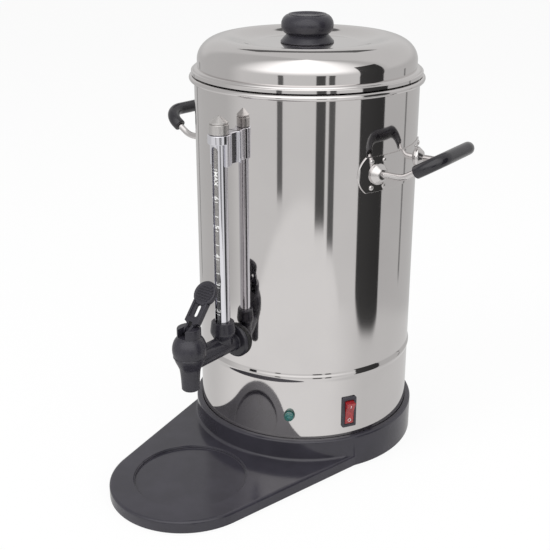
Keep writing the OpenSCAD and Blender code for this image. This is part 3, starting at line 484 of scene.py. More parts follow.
def slab(name, outline, low, high, matrix=None):
    """A flat outline of (x, y), filled and drawn up from low to high."""
    obj = thread(name, [(x, y, low) for x, y in outline])
    bpy.ops.mesh.edge_face_add()
    bpy.ops.mesh.extrude_region_move(TRANSFORM_OT_translate={"value": (0, 0, (high - low) * MM)})
    close_up(obj)
    return settle(obj, matrix) if matrix is not None else obj


def block(low, high, matrix=None):
    """A box between two corners."""
    (x0, y0, z0), (x1, y1, z1) = low, high
    return slab("block", [(x0, y0), (x1, y0), (x1, y1), (x0, y1)], z0, z1, matrix)


def modify(obj, kind, **settings):
    """Adds one modifier and applies it."""
    take(obj)
    made = obj.modifiers.new(kind.lower(), kind)
    for name, value in settings.items():
        setattr(made, name, value)
    bpy.ops.object.modifier_apply(modifier=made.name)
    return obj


def combine(operation, obj, others):
    """Combines solids, and removes all but the first."""
    for other in others:
        modify(obj, "BOOLEAN", operation=operation, solver="MANIFOLD", object=other)
        bpy.data.objects.remove(other)
    return obj


def cut(obj, *others):
    """Takes other solids away from this one."""
    return combine("DIFFERENCE", obj, others)


def fuse(obj, *others):
    """Adds other solids to this one."""
    return combine("UNION", obj, others)


def keep_within(obj, bound):
    """Keeps what lies inside another solid."""
    return combine("INTERSECT", obj, [bound])


def soften(obj, radius=None, angle=40, segments=2):
    """Clears the slivers that cuts leave behind and rounds the sharp edges."""
    edit(obj)
    bpy.ops.mesh.remove_doubles(threshold=SLIVER)
    bpy.ops.mesh.dissolve_degenerate(threshold=SLIVER)
    bpy.ops.mesh.dissolve_limited(angle_limit=math.radians(0.5))
    leave_edit()
    return modify(obj, "BEVEL", width=radius or sizes().edge_round, segments=segments, limit_method="ANGLE",
                  angle_limit=math.radians(angle), use_clamp_overlap=False, miter_outer="MITER_ARC")


def finished(obj, body, slot, *nodes, sharp=35, finish=None):
    """Shades a piece, gives it its finish and its body, and hides the CAD nodes that it stands for."""
    close_up(obj, sharp, outwards=False)
    modify(obj, "WEIGHTED_NORMAL", keep_sharp=True, weight=90)
    obj.data.materials.clear()
    obj.data.materials.append(FINISHES[finish or slot])
    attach(obj, body)
    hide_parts(*nodes)
    return obj


def smooth_copy(node, name, round_off=0.0):
    """A merged, smooth-shaded copy of a CAD node's mesh, with its edges rounded where asked."""
    take(NODES[node])
    bpy.ops.object.duplicate()
    obj = named(name)
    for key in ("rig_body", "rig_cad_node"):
        if key in obj:
            del obj[key]
    world = obj.matrix_world.copy()
    obj.parent = None
    obj.matrix_world = world
    edit(obj)
    bpy.ops.mesh.remove_doubles(threshold=MERGE)
    bpy.ops.mesh.dissolve_limited(angle_limit=math.radians(0.6))
    leave_edit()
    if round_off:
        soften(obj, round_off)
    bpy.ops.object.shade_smooth_by_angle(angle=math.radians(30))
    return obj


def around(angle, axis="Z"):
    """A turn about an axis. About +Z it takes a piece that faces the tap round the body."""
    return Matrix.Rotation(math.radians(angle), 4, axis)


UPRIGHT = around(90, "X")
SIDEWAYS = around(90, "Y")


def at(x, y, z):
    return Matrix.Translation((x * MM, y * MM, z * MM))


def facing_front(reach, height):
    """Lays a piece that was turned round +Z down along -Y, its foot at a distance in front of the axis."""
    return at(0, -reach, height) @ UPRIGHT


def through_wall(radius, height, angle=0):
    """A peg through the body's wall, seen from the tap's side at an angle round the body."""
    return peg(radius, 0, 20, around(angle) @ facing_front(WALL_CUT, height))


# ------------------------------------------------------------------ pieces

class UrnPiece:
    """What the operators share: the panel's undo setting."""
    bl_options = {"REGISTER", "UNDO"}


class URN_OT_finishes(UrnPiece, bpy.types.Operator):
    """Makes the finishes and puts them on the parts that keep their own shape"""
    bl_idname = "urn.finishes"
    bl_label = "Finishes"

    def execute(self, context):
        FINISHES.update(make_finishes())
        slots = {row["slot"] for row in frame["record"]["materials"]}
        for node in NODES.values():
            for i, material in enumerate(node.data.materials):
                key = material.name.split(".")[0] if material else ""
                key = key if key in slots else node_slot(node.name)
                node.data.materials[i] = FINISHES[key]
        return {"FINISHED"}


def node_slot(name):
    """The record's material slot of a CAD node."""
    for row in frame["record"]["subparts"]:
        if row["node"] == name:
            return row["material_slot"]
    raise ValueError("no material slot is given for the node " + name)


class URN_OT_vessel(UrnPiece, bpy.types.Operator):
    """Turns the steel vessel with its rolled rim and its floor"""
    bl_idname = "urn.vessel"
    bl_label = "Vessel"

    def execute(self, context):
        roll, well_r, well_z, floor_z, rows = 2.7, 24.8, 91.6, 107.6, (118, 142, 315.8, 326.6)
        outline = [(0, well_z), (well_r, well_z), (well_r, floor_z), (INNER_R - 1, floor_z),
                   (INNER_R - 1, SEAM_Z - 11), (INNER_R - 0.2, SEAM_Z - 11), (INNER_R - 0.2, SEAM_Z),
                   (BODY_R, SEAM_Z)] + [(BODY_R, z) for z in rows]
        outline += arc(BODY_R + 2.2, RIM_Z, roll, roll, 215.4, 504.6, 28)
        outline += [(INNER_R, z) for z in (RIM_Z + 1, *rows[::-1], floor_z + WALL)]
        outline += [(well_r - WALL, floor_z + WALL), (well_r - WALL, well_z + WALL), (0, well_z + WALL)]
        vessel = turned("vessel_steel", outline, steps=sizes().round_steps)
        cut(vessel, through_wall(8.65, BARREL_Z), through_wall(2.15, SCREW_Z))
        finished(vessel, "body", "polished_steel", "vessel", finish="vessel_steel")
        return {"FINISHED"}


class URN_OT_skirt(UrnPiece, bpy.types.Operator):
    """Turns the steel skirt with its raised bead and cuts the openings for the controls"""
    bl_idname = "urn.skirt"
    bl_label = "Skirt"

    def execute(self, context):
        bead_z, bead_h, bead_out, steps = 99.5, 10.4, 1.2, 28
        path = [(BODY_R, z) for z in (SKIRT_FOOT, 44.9, 75.1)]
        for i in range(steps + 1):
            share = i / steps - 0.5
            swell = bead_out * (1 + math.cos(FULL_TURN * share)) / 2
            path.append((BODY_R + swell, bead_z + bead_h * share))
        path.append((BODY_R, SEAM_Z))
        skirt = pressed("heater_skirt_steel", path)
        for half_w, half_h, angle in ((6.5, 14.2, SWITCH_ANGLE), (14.2, 10.5, 180)):
            low, high = (-half_w, -120, CONTROL_Z - half_h), (half_w, -WALL_CUT, CONTROL_Z + half_h)
            cut(skirt, block(low, high, around(angle)))
        cut(skirt, through_wall(4.2, CONTROL_Z, LAMP_ANGLE))
        finished(skirt, "body", "polished_steel", "heater_skirt")
        return {"FINISHED"}


class URN_OT_lid(UrnPiece, bpy.types.Operator):
    """Turns the lid's pressed shell and its rolled flange"""
    bl_idname = "urn.lid"
    bl_label = "Lid"

    def execute(self, context):
        wall_r, shoulder_z, crown_r, crown_z = 104.4, 385.2, 79.1, 406.1
        lip_r, lip_z, lip_top, dish_r, dish, steps = 110.2, 371.8, 375.4, 48, 6, 20
        path = [(wall_r, RIM_Z - 9), (wall_r, lip_z), (wall_r, lip_z + 2)]
        path += arc(crown_r, shoulder_z, wall_r - crown_r, crown_z - shoulder_z, 0, 90, 36)
        for share in (i / steps for i in range(1, steps + 1)):
            sunk = dish * (1 - math.cos(math.pi * share)) / 2
            path.append((crown_r + (dish_r - crown_r) * share, crown_z - sunk))
        path.append((2.6, crown_z - dish))
        shell = pressed("lid_steel", path, 40)
        flange = [(lip_r, lip_z + 1), (lip_r, lip_top)] + arc(lip_r - 1, lip_top, 1, 1, 0, 75, 6)
        flange += [(lip_r - 1.3, lip_top + 1)] + arc(wall_r, lip_top + 1.1, 4.2, 2.4, 8, 90, 12)
        rolled = pressed("lid_flange_steel", flange, 40)
        finished(shell, "lid", "polished_steel", "lid_shell")
        finished(rolled, "lid", "polished_steel")
        return {"FINISHED"}


class URN_OT_knob(UrnPiece, bpy.types.Operator):
    """Turns the lid's knob"""
    bl_idname = "urn.knob"
    bl_label = "Knob"

    def execute(self, context):
        wide_z, height, seat_z = 16.4, 26.2, 400.1
        outline = [(0, 0.05), (24.9, 0.05), (25.2, 0.4), (25.2, 1.1), (24.8, 1.7), (20.8, 6.2), (20, 7.1),
                   (19.7, 7.7)]
        outline += arc(18.76, wide_z, 5.94, 8.6, -72, 0, 12) + arc(15.3, wide_z, 9.4, 9.8, 8, 60, 12)
        outline += [(r, height - deep) for r, deep in (
            (18.5, 0.7), (18, 0.6), (17.8, 0.1), (17.4, 0), (16.8, 0.1), (16, 0.9), (14.6, 1.5), (13, 1.8),
            (0, 2.1))]
        knob = turned("knob_black", outline, steps=128, sharp=50, matrix=at(0, 0, seat_z))
        finished(knob, "lid", "black_plastic", "lid_knob", sharp=50, finish="tap_plastic")
        return {"FINISHED"}


class URN_OT_base(UrnPiece, bpy.types.Operator):
    """Shapes the base moulding: the ring, the tongue with its cup rest, and the hollow below"""
    bl_idname = "urn.base"
    bl_label = "Base moulding"

    def execute(self, context):
        low, top, reach, end_r, root_r = 1.2, 12.8, 182, 73.5, 110
        taper = math.degrees(math.asin((root_r - end_r) / reach))

        def plan(inset):
            tip = arc(0, -reach, end_r - inset, end_r - inset, 180 + taper, 360 - taper, 72)
            root, side = root_r - inset, math.radians(taper)
            return tip + [(s * root * math.cos(side), -root * math.sin(side)) for s in (1, -1)]

        tongue = slab("base_black", plan(0), low, top)
        edit(tongue)
        bpy.ops.mesh.select_mode(type="EDGE")
        bpy.ops.mesh.select_all(action="DESELECT")
        leave_edit()
        for edge in tongue.data.edges:
            edge.select = all(tongue.data.vertices[i].co.z > (top - 0.1) * MM for i in edge.vertices)
        bpy.ops.object.mode_set(mode="EDIT")
        bpy.ops.mesh.bevel(offset=2.4 * MM, segments=6, profile=0.5)
        leave_edit()

        rest_r, rest_reach, floor = 53.6, 177.5, top - 2.8
        rest = [(0, floor), (rest_r - 1.2, floor)] + arc(rest_r - 1.2, floor + 0.5, 0.5, 0.5, -90, 0, 4)
        rest += [(rest_r + out, top + up) for out, up in (
            (-0.7, -1.2), (-0.5, -1), (0.2, -1), (0.4, -0.8), (0.4, -0.3), (0.7, 0), (0.7, 4))] + [(0, top + 4)]
        cut(tongue, turned("cup_rest", rest, steps=160, matrix=at(0, -rest_reach, 0)),
            peg(109, -1, 40, steps=128))

        wall, roof, foot_x, foot_reach, rib_low = 3, 7.8, 38, 208, 2.2
        hollow = slab("hollow", plan(wall), -1, roof)
        cut(hollow, peg(115, -2, 12))
        for x in (-30, 0, 30):
            cut(hollow, block((x - 1, -260, rib_low), (x + 1, -72, 20)))
        for y in (-152, -196):
            cut(hollow, block((-80, y - 1, rib_low), (80, y + 1, 20)))
        for x in (-foot_x, foot_x):
            cut(hollow, peg(7.9, -2, 20, at(x, -foot_reach, 0), 48))
        cut(tongue, hollow)

        ring_r, ring_top, fillet_r, steps = 113.5, 34, 3, sizes().round_steps
        ring = [(99.3, 3.2), (99.3, low), (ring_r, low)] + arc(ring_r - 2.2, ring_top - 2.2, 2.2, 2.2, 0, 90, 8)
        ring += [(108.3, ring_top), (107.8, 33.6), (107.8, SKIRT_FOOT), (90, SKIRT_FOOT), (90, 3.2)]
        fillet = [(ring_r - 1, top - 1), (ring_r + fillet_r, top - 1)]
        fillet += arc(ring_r + fillet_r, top + fillet_r, fillet_r, fillet_r, 270, 180, 8)
        corner = turned("corner", fillet + [(ring_r - 1, top + fillet_r)], True, steps=steps)
        keep_within(corner, slab("bound", plan(2.6), top - 0.8, top + 6))
        fuse(tongue, turned("ring", ring, True, steps=steps), corner)

        feet = [(106.4 * math.sin(a), -106.4 * math.cos(a)) for a in map(math.radians, (52, -52, 140, -140))]
        for x, y in [(foot_x, -foot_reach), (-foot_x, -foot_reach)] + feet:
            cut(tongue, peg(5.55, -1, 3.2, at(x, y, 0), 32))
        finished(tongue, "body", "black_plastic", "base_tray", sharp=32, finish="base_plastic")
        return {"FINISHED"}


class URN_OT_tap(UrnPiece, bpy.types.Operator):
    """Shapes the tap's body, with its spout, barrel, flange and gauge cup, and its bonnet"""
    bl_idname = "urn.tap"
    bl_label = "Tap"

    def execute(self, context):
        here, cup_here, barrel = at(0, -TAP_REACH, 0), at(0, -GAUGE_REACH, 0), 80.5
        joint_z, collar_z, slot_half = 138, 158.1, 4.5
        spout = [(0, 103.5), (7.5, 103.5), (8.1, 103.8), (8.4, 104.5), (8.8, 114), (9.3, 120.5), (9.9, 124.6),
                 (10.9, 127.2), (12.2, 130), (13.4, 132.6), (14.2, 134.9), (14.9, 137), (15.1, 137.6),
                 (14.9, joint_z), (0, joint_z)]
        flange = [(0, 0), (15.8, 0), (16.4, 0.6)] + arc(14, 1.8, 2.4, 2.4, 0, 90, 6) + [(0, 4.2)]
        cup = [(0, BARREL_Z), (8.1, BARREL_Z), (9, 139.6), (10.5, 142), (11.7, 144.3), (12, 146), (11.9, 147.6),
               (10.8, 155.6), (10.2, 156.5), (0, 156.5)]
        body = turned("tap_black", spout, matrix=here)
        fuse(body, peg(8.5, 0, barrel, facing_front(92.5, BARREL_Z)),
             turned("flange", flange, matrix=facing_front(108.5, BARREL_Z)),
             turned("gauge_cup", cup, matrix=cup_here),
             block((-2.5, -TAP_REACH, BARREL_Z), (2.5, -GAUGE_REACH, BARREL_Z + 11.1)))
        soften(body, 0.0009, 30, 3)
        bore = [(0, 100), (5.2, 100), (5.2, 124.5), (7.8, 124.5), (7.8, 133), (11.6, 133), (11.6, 150),
                (0, 150)]
        socket = [(0, BARREL_Z), (2.5, BARREL_Z), (2.5, 145), (7.3, 145), (7.3, 160), (0, 160)]
        cut(body, turned("bore", bore, matrix=here), peg(4.5, 0, barrel, facing_front(91.5, BARREL_Z)),
            turned("socket", socket, matrix=cup_here))
        finished(body, "body", "black_plastic", "tap_body", sharp=38, finish="tap_plastic")

        outline = [(0, joint_z + 0.02), (14.9, joint_z + 0.02), (15.2, 138.5), (15.5, 139.8)]
        outline += arc(6, 144.2, 10, 14.3, -10, 62, 18)
        outline += [(11.1, collar_z), (11.1, 165.1), (10.8, 165.7), (10.2, 166), (0, 166)]
        bonnet = turned("tap_bonnet_black", outline, matrix=here)
        bore = [(0, 137), (11.6, 137), (11.6, 143), (7.1, 155.5), (3.2, 155.5), (3.2, 170), (0, 170)]
        cut(bonnet, turned("bore", bore, matrix=here),
            block((-slot_half, -TAP_REACH - 16, collar_z), (slot_half, -TAP_REACH + 16, 180)))
        soften(bonnet, 0.00035, 40)
        finished(bonnet, "body", "black_plastic", "tap_bonnet", sharp=38, finish="tap_plastic")
        return {"FINISHED"}


class URN_OT_lever(UrnPiece, bpy.types.Operator):
    """Shapes the tap's lever: a hub, a slotted arm with raised edges and a ribbed paddle"""
    bl_idname = "urn.lever"
    bl_label = "Lever"

    def execute(self, context):
        length, paddle_r, arm_half, hub_half, arm_end, thick, web = 37, 12, 8.25, 4.2, 28, 2.7, 1.2

        def flat(outline, half):
            return slab("flat", outline, -half, half, UPRIGHT)

        hub = turned("lever_black", mirrored([(0, hub_half), (3.4, hub_half), (3.9, hub_half - 0.5)]), steps=48,
                     matrix=SIDEWAYS)
        arm = [(-hub_half, 5.4), (hub_half, 5.4), (arm_half, 8), (arm_half, arm_end), (-arm_half, arm_end),
               (-arm_half, 8)]
        neck = [(-hub_half, 0), (hub_half, 0), (hub_half, 11.6), (-hub_half, 11.6)]
        root = [(-hub_half, 5.6), (hub_half, 5.6), (5.6, 6.8), (arm_half, 7.8), (arm_half, 12.2),
                (-arm_half, 12.2), (-arm_half, 7.8), (-5.6, 6.8)]
        parts = [flat(arm, web), flat(neck, thick - 0.2), flat(root, thick)]
        for side in (-1, 1):
            x0, x1 = sorted((side * arm_half, side * (arm_half - 2.6)))
            parts.append(flat([(x0, 8.2), (x1, 8.2), (x1, arm_end), (x0, arm_end)], thick))
        paddle = mirrored([(0, 2.1), (9.2, 2.1), (9.8, 2.5), (10.6, 2.7), (11.5, 2.3), (paddle_r, 1.5)])
        parts.append(turned("paddle", paddle, steps=96, matrix=at(0, 0, length) @ UPRIGHT))
        fuse(hub, *parts)
        cut(hub, flat(arc(0, 15.8, 2.2, 2.2, 180, 360, 12) + arc(0, 23.4, 2.2, 2.2, 0, 180, 12), 9))
        soften(hub, 0.00045, 35)
        for i in range(6):
            z = 2.6 * (i - 2.5)
            half = math.sqrt(8.6 ** 2 - z * z)
            rib = mirrored([(0, half + 0.5), (0.6, half + 0.3), (0.9, half - 0.3)])
            fuse(hub, turned("rib", rib, steps=24, matrix=at(0, -2.1, length + z) @ SIDEWAYS))
        cut(hub, block((-1.8, -20, -20), (1.8, 20, 8)), peg(1.56, -12, 12, SIDEWAYS, 32))
        settle(hub, at(0, -TAP_REACH, PIN_Z) @ around(-LEVER_LEAN, "X"))
        finished(hub, "lever", "black_plastic", "tap_lever", sharp=40, finish="tap_plastic")
        return {"FINISHED"}


class URN_OT_gauge(UrnPiece, bpy.types.Operator):
    """Shapes the level gauge: glass tube, slotted guard, bracket and cap"""
    bl_idname = "urn.gauge"
    bl_label = "Level gauge"

    def execute(self, context):
        here = at(0, -GAUGE_REACH, 0)
        glass = tube("gauge_tube_glass", GLASS_R, GLASS_R - 1.1, 145.05, TUBE_TOP, 64, here)
        finished(glass, "body", "gauge_glass", "gauge_glass")
        guard = tube("gauge_guard_steel", GUARD_R, GUARD_R - 0.8, 149.05, TUBE_TOP, 96)
        slot_half, slot_top = 3.6, 321.4
        slot = [(-slot_half, 140), (slot_half, 140)] + arc(0, slot_top, slot_half, slot_half, 0, 180, 24)
        cut(guard, slab("guard_slot", slot, 0, 12, UPRIGHT))
        soften(guard, 0.0002, 50)
        finished(settle(guard, here), "body", "polished_steel", "gauge_guard", finish="chrome")

        low, front_low, top = 307, 327.5, 335.4
        bracket = peg(10.35, low, top, name="gauge_bracket_steel")
        side = arc(12.5, 11, 7, 7, 246, 180, 12) + arc(8.5, 16.5, 3, 3, 180, 90, 8) + [(8.5, 26)]
        fuse(bracket, slab("foot", side + [(-x, y) for x, y in side[::-1]], low, top))
        settle(bracket, here)
        cut(bracket, peg(BODY_R + 0.05, 300, 340, steps=256), peg(GUARD_R + 0.05, 300, 340, here),
            block((-20, -GAUGE_REACH - 20, low - 1), (20, -GAUGE_REACH - 1.2, front_low)),
            peg(2.05, 0, 17.4, facing_front(100, SCREW_Z), 32))
        soften(bracket, 0.0005, 40, 3)
        finished(bracket, "body", "polished_steel", "gauge_bracket", finish="chrome")

        cap_z, cap_r = 335.7, 8.8
        outline = [(0, cap_z)] + [(cap_r + out, cap_z + up) for out, up in (
            (-0.3, 0), (0, 0.3), (0, 8.5), (-0.3, 8.9), (-1.2, 9.1), (-1.2, 9.6), (-0.4, 9.8), (-0.2, 10.2),
            (-0.3, 10.7), (-0.7, 11))] + [(1.2, cap_z + 15.9), (0, cap_z + 16.2)]
        cap = turned("gauge_cap_grey", outline, steps=96, sharp=25, matrix=here)
        cut(cap, peg(7.5, 330, TUBE_TOP + 0.3, here, 64))
        finished(cap, "gauge_top", "grey_metal", "gauge_cap", sharp=25)
        return {"FINISHED"}


class URN_OT_scale(UrnPiece, bpy.types.Operator):
    """Writes the level marks on the gauge's glass"""
    bl_idname = "urn.scale"
    bl_label = "Scale"

    def execute(self, context):
        marks = {"MAX": 303.9, "6": 273.8, "5": 246.6, "4": 218.9, "3": 191.1, "2": 164.0}
        thick, front, half_litre = sizes().tick_width / MM, -GAUGE_REACH - GLASS_R - 1, 13.6
        pieces = []
        for word, z in marks.items():
            clear()
            bpy.ops.object.text_add(location=(0, 0, 0))
            text = bpy.context.object
            grown, align, rise = (1, "LEFT", -1.2) if word == "MAX" else (1.25, "RIGHT", 2.2)
            height = sizes().numeral_height * grown
            text.data.body, text.data.size, text.data.align_x = word, height * 1.4, align
            text.data.offset, text.data.resolution_u = 0.00016, 4
            bpy.ops.object.convert(target="MESH")
            place = at(-0.5 * height / MM, front, z + rise)
            pieces.append(settle(bpy.context.object, place @ SIDEWAYS @ UPRIGHT))
            for low, half in ((z, 3.1), (z - half_litre, 2.0)):
                tick = thread("tick", [(-half, 0, low), (half, 0, low), (half, 0, low + thick),
                                       (-half, 0, low + thick)])
                bpy.ops.mesh.edge_face_add()
                leave_edit()
                pieces.append(settle(tick, at(0, front, 0)))
        clear()
        for piece in pieces:
            piece.select_set(True)
        bpy.context.view_layer.objects.active = pieces[0]
        bpy.ops.object.join()
        scale = edit(named("gauge_scale_white"))
        bpy.ops.mesh.quads_convert_to_tris()
        bpy.ops.mesh.subdivide(number_cuts=2)
        leave_edit()
        modify(scale, "SHRINKWRAP", target=bpy.data.objects["gauge_tube_glass"], wrap_method="PROJECT",
               use_project_y=True, use_positive_direction=True, use_negative_direction=True, offset=0.00005)
        modify(scale, "SOLIDIFY", thickness=0.00008, offset=0)
        finished(scale, "body", "ivory_plastic", finish="white_marks")
        return {"FINISHED"}


def handle_line(start_back, sleeve):
    """Moves of half a handle, which faces the tap: where it starts, and then its runs and bends."""
    rise, splay = math.radians(31), math.radians(1)
    leg_out, leg_rise, bend_r, corner_r = 26.5, 38, 22, 18.5
    base_y = -math.sqrt(BODY_R ** 2 - MOUNT_HALF ** 2)
    frame_here = Matrix.Translation((MOUNT_HALF, base_y, HANDLE_Z)) @ Matrix.Rotation(splay, 4, "Z")
    spin = frame_here.to_3x3()
    out, up_leg = spin @ Vector((0, -1, 0)), spin @ Vector((0, -math.cos(rise), math.sin(rise)))
    inward = Vector((-1, 0, 0))
    turn = math.acos(up_leg.dot(inward))
    leg_run, corner_run = bend_r * math.tan(rise / 2), corner_r * math.tan(turn / 2)
    knee = frame_here @ Vector((0, -leg_out, 0))
    corner = knee + up_leg * leg_rise
    side = (inward - up_leg * up_leg.dot(inward)).normalized()
    steps = []
    if sleeve is None:
        start, way = frame_here @ Vector((0, start_back, 0)), out
        steps.append(("run", out * (start_back + leg_out - leg_run)))
        hub = knee - out * leg_run + spin @ Vector((0, 0, bend_r))
        steps.append(("bend", hub, spin @ Vector((1, 0, 0)), rise, 12))
        steps.append(("run", up_leg * (leg_rise - leg_run - corner_run)))
    else:
        start, way = knee + up_leg * (leg_run + sleeve), up_leg
        steps.append(("run", up_leg * (leg_rise - leg_run - sleeve - corner_run)))
    hub = corner - up_leg * corner_run + side * corner_r
    steps.append(("bend", hub, inward.cross(up_leg).normalized(), turn, 20))
    steps.append(("run", inward * (corner.x - corner_run)))
    return start, way, steps


def bent_rod(name, radius, line, solid, sides=32):
    """A round rod drawn along the moves of a handle's half and mirrored to the other half."""
    start, way, steps = line
    clear()
    turn = way.to_track_quat("Z", "Y").to_euler()
    bpy.ops.mesh.primitive_circle_add(vertices=sides, radius=radius * MM, location=start * MM, rotation=turn,
                                      fill_type="NGON" if solid else "NOTHING")
    obj = edit(settle(named(name)))
    for kind, *move in steps:
        if kind == "run":
            bpy.ops.mesh.extrude_region_move(TRANSFORM_OT_translate={"value": move[0] * MM})
        else:
            centre, axis, angle, count = move
            bpy.ops.mesh.spin(steps=count, angle=angle, center=centre * MM, axis=axis)
    if solid:
        bpy.ops.mesh.delete(type="ONLY_FACE")
    leave_edit()
    modify(obj, "MIRROR", use_axis=(True, False, False), use_mirror_merge=True, merge_threshold=0.0001)
    return close_up(obj, 40)


class URN_OT_handles(UrnPiece, bpy.types.Operator):
    """Bends the two handles' rods and sleeves and turns their ferrules"""
    bl_idname = "urn.handles"
    bl_label = "Handles"

    def execute(self, context):
        rod = bent_rod("handle_rod_steel", ROD_R, handle_line(3, None), True)
        grip = bent_rod("handle_grip_black", GRIP_R, handle_line(0, 8.5), False, 40)
        modify(grip, "SOLIDIFY", thickness=(GRIP_R - ROD_R - 0.05) * MM, offset=-1, use_even_offset=True)
        soften(grip, 0.0011, 50, 4)

        mount = math.degrees(math.asin(MOUNT_HALF / BODY_R))
        outline = [(0, -1), (9.8, -1), (9.8, 1.4), (9.5, 2.1), (9.0, 2.6), (7.6, 4.2), (5.9, 6.1), (5.3, 6.6),
                   (4.6, 6.9), (3.4, 6.95), (0, 6.95)]
        ferrules = []
        for side in (-1, 1):
            place = around(side * mount) @ facing_front(PLATE_FACE, HANDLE_Z)
            ferrule = turned("ferrule", outline, steps=72, sharp=30, matrix=place)
            ferrules.append(cut(ferrule, peg(PLATE_FACE + 0.05, 270, 320, steps=256)))

        end_r, half_h, plate_low = 22.3, 16.5, HANDLE_Z - 20
        spread, end_x = math.degrees(math.asin(half_h / end_r)), MOUNT_HALF + 19.6 - end_r
        plate = tube("handle_plate_steel", PLATE_FACE, BODY_R + 0.05, plate_low, plate_low + 40, 360)
        shape = arc(end_x, 0, end_r, end_r, -spread, spread, 24)
        shape += arc(-end_x, 0, end_r, end_r, 180 - spread, 180 + spread, 24)
        keep_within(plate, slab("bound", shape, 60, 130, facing_front(0, HANDLE_Z)))
        soften(plate, 0.00025, 50)

        outline = [(0, 0), (1.4, 0), (1.4, 1.18), (2.4, 1.18), (2.35, 1.5), (2, 1.95), (1.3, 2.3), (0, 2.4)]
        beside_rod, rise, rivets = math.degrees(7.25 / BODY_R), 12, []
        for turn in (s * mount + t * beside_rod for s in (-1, 1) for t in (-1, 1)):
            for z in (HANDLE_Z - rise, HANDLE_Z + rise):
                place = around(turn) @ facing_front(BODY_R + 0.12, z)
                rivets.append(turned("handle_rivets_steel", outline, steps=32, sharp=60, matrix=place))
        fuse(*rivets)

        made_once = ((rod, "soft_steel", "handle_rod_"), (grip, "grip_plastic", "handle_grip_"),
                     (ferrules[0], "soft_steel", "handle_rosettes_"), (ferrules[1], "soft_steel", None),
                     (plate, "polished_steel", "handle_plate_"), (rivets[0], "soft_steel", "handle_rivets_"))
        for angle, side in ((HANDLE_ANGLE, "right"), (-HANDLE_ANGLE, "left")):
            for piece, finish, node in made_once:
                made = piece.copy()
                made.data = piece.data.copy()
                context.scene.collection.objects.link(made)
                made.name = made.data.name = piece.name.split(".")[0] + "_" + side + ("" if node else "_far")
                nodes = [node + side] if node else []
                finished(settle(made, around(angle)), "body", finish.replace("soft", "polished"), *nodes,
                         finish=finish)
        for piece, *_ in made_once:
            bpy.data.objects.remove(piece)
        return {"FINISHED"}


class URN_OT_switch(UrnPiece, bpy.types.Operator):
    """Shapes the rocker switch with its bezel and signs"""
    bl_idname = "urn.switch"
    bl_label = "Switch"

    def execute(self, context):
        here = around(SWITCH_ANGLE) @ at(0, -BODY_R - 0.05, CONTROL_Z)
        housing = smooth_copy("switch_housing", "switch_housing_black", 0.0004)
        finished(housing, "body", "black_plastic", "switch_housing", sharp=30)

        half_h, end_y, middle_y, sign_z = 11.8, -4.4, -2.4, 8
        outline = [(end_y, -half_h), (middle_y, 0), (end_y, half_h), (5, half_h), (8, 2), (8, -2), (5, -half_h)]
        rocker = slab("rocker_red", outline, -4.5, 4.5, around(90) @ UPRIGHT)
        soften(rocker, 0.0005, 20, 3)
        tilt = here @ around(11, "X")
        settle(rocker, tilt)

        slope = math.degrees(math.atan2(middle_y - end_y, half_h))
        clear()
        bpy.ops.mesh.primitive_torus_add(major_radius=1.5 * MM, minor_radius=0.26 * MM, major_segments=40,
                                         minor_segments=8)
        ring = settle(named("rocker_signs_white"), tilt @ at(0, -3.72, -sign_z) @ around(90 - slope, "X"))
        bar = block((-0.28, -0.2, -1.7), (0.28, 0.2, 1.7), tilt @ at(0, -3.72, sign_z) @ around(slope, "X"))
        finished(rocker, "rocker", "red_plastic", "switch_rocker", sharp=30)
        finished(fuse(ring, bar), "rocker", "ivory_plastic", finish="white_marks")
        return {"FINISHED"}


class URN_OT_lamp(UrnPiece, bpy.types.Operator):
    """Turns the lamp's lens and its holder"""
    bl_idname = "urn.lamp"
    bl_label = "Lamp"

    def execute(self, context):
        here = around(LAMP_ANGLE) @ facing_front(BODY_R + 0.05, CONTROL_Z)
        outline = [(0, -6), (2.95, -6), (2.95, 1.2), (4.4, 1.2), (4.5, 1.4), (4.5, 4.7), (4.3, 5.3), (3.7, 5.9),
                   (3.1, 6.15), (2.9, 5.95), (2.6, 5.95), (2.4, 6.3), (1.2, 6.55), (0, 6.6)]
        lens = turned("lamp_lens_green", outline, steps=64, sharp=28, matrix=here)
        finished(lens, "body", "green_lens", "lamp_lens", sharp=28)
        holder = smooth_copy("lamp_holder", "lamp_holder_dark", 0.0002)
        finished(holder, "body", "dark_green_plastic", "lamp_holder", sharp=30)
        return {"FINISHED"}


class URN_OT_inner_parts(UrnPiece, bpy.types.Operator):
    """Smooths the parts inside and below that come to view when the lid is off or the urn is tipped"""
    bl_idname = "urn.inner_parts"
    bl_label = "Inner parts"

    def execute(self, context):
        for node in ("basket", "spreader", "pump_tube", "pump_foot", "base_plate", "rubber_feet", "base_screws",
                     "power_inlet", "inlet_pins", "lever_pin", "tap_gasket", "tap_inner_gasket", "tap_nut",
                     "bracket_screw", "knob_screw", "knob_washer", "gauge_seals", "valve_stem", "seat_cup",
                     "heater_plate", "heating_element", "thermostats", "thermostat_strap", "terminal_block",
                     "centre_stud", "stud_nuts", "lamp_nut"):
            finish = "tap_plastic" if node == "valve_stem" else None
            finished(smooth_copy(node, node + "_smooth"), NODES[node]["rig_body"], node_slot(node), node,
                     sharp=30, finish=finish)
        return {"FINISHED"}


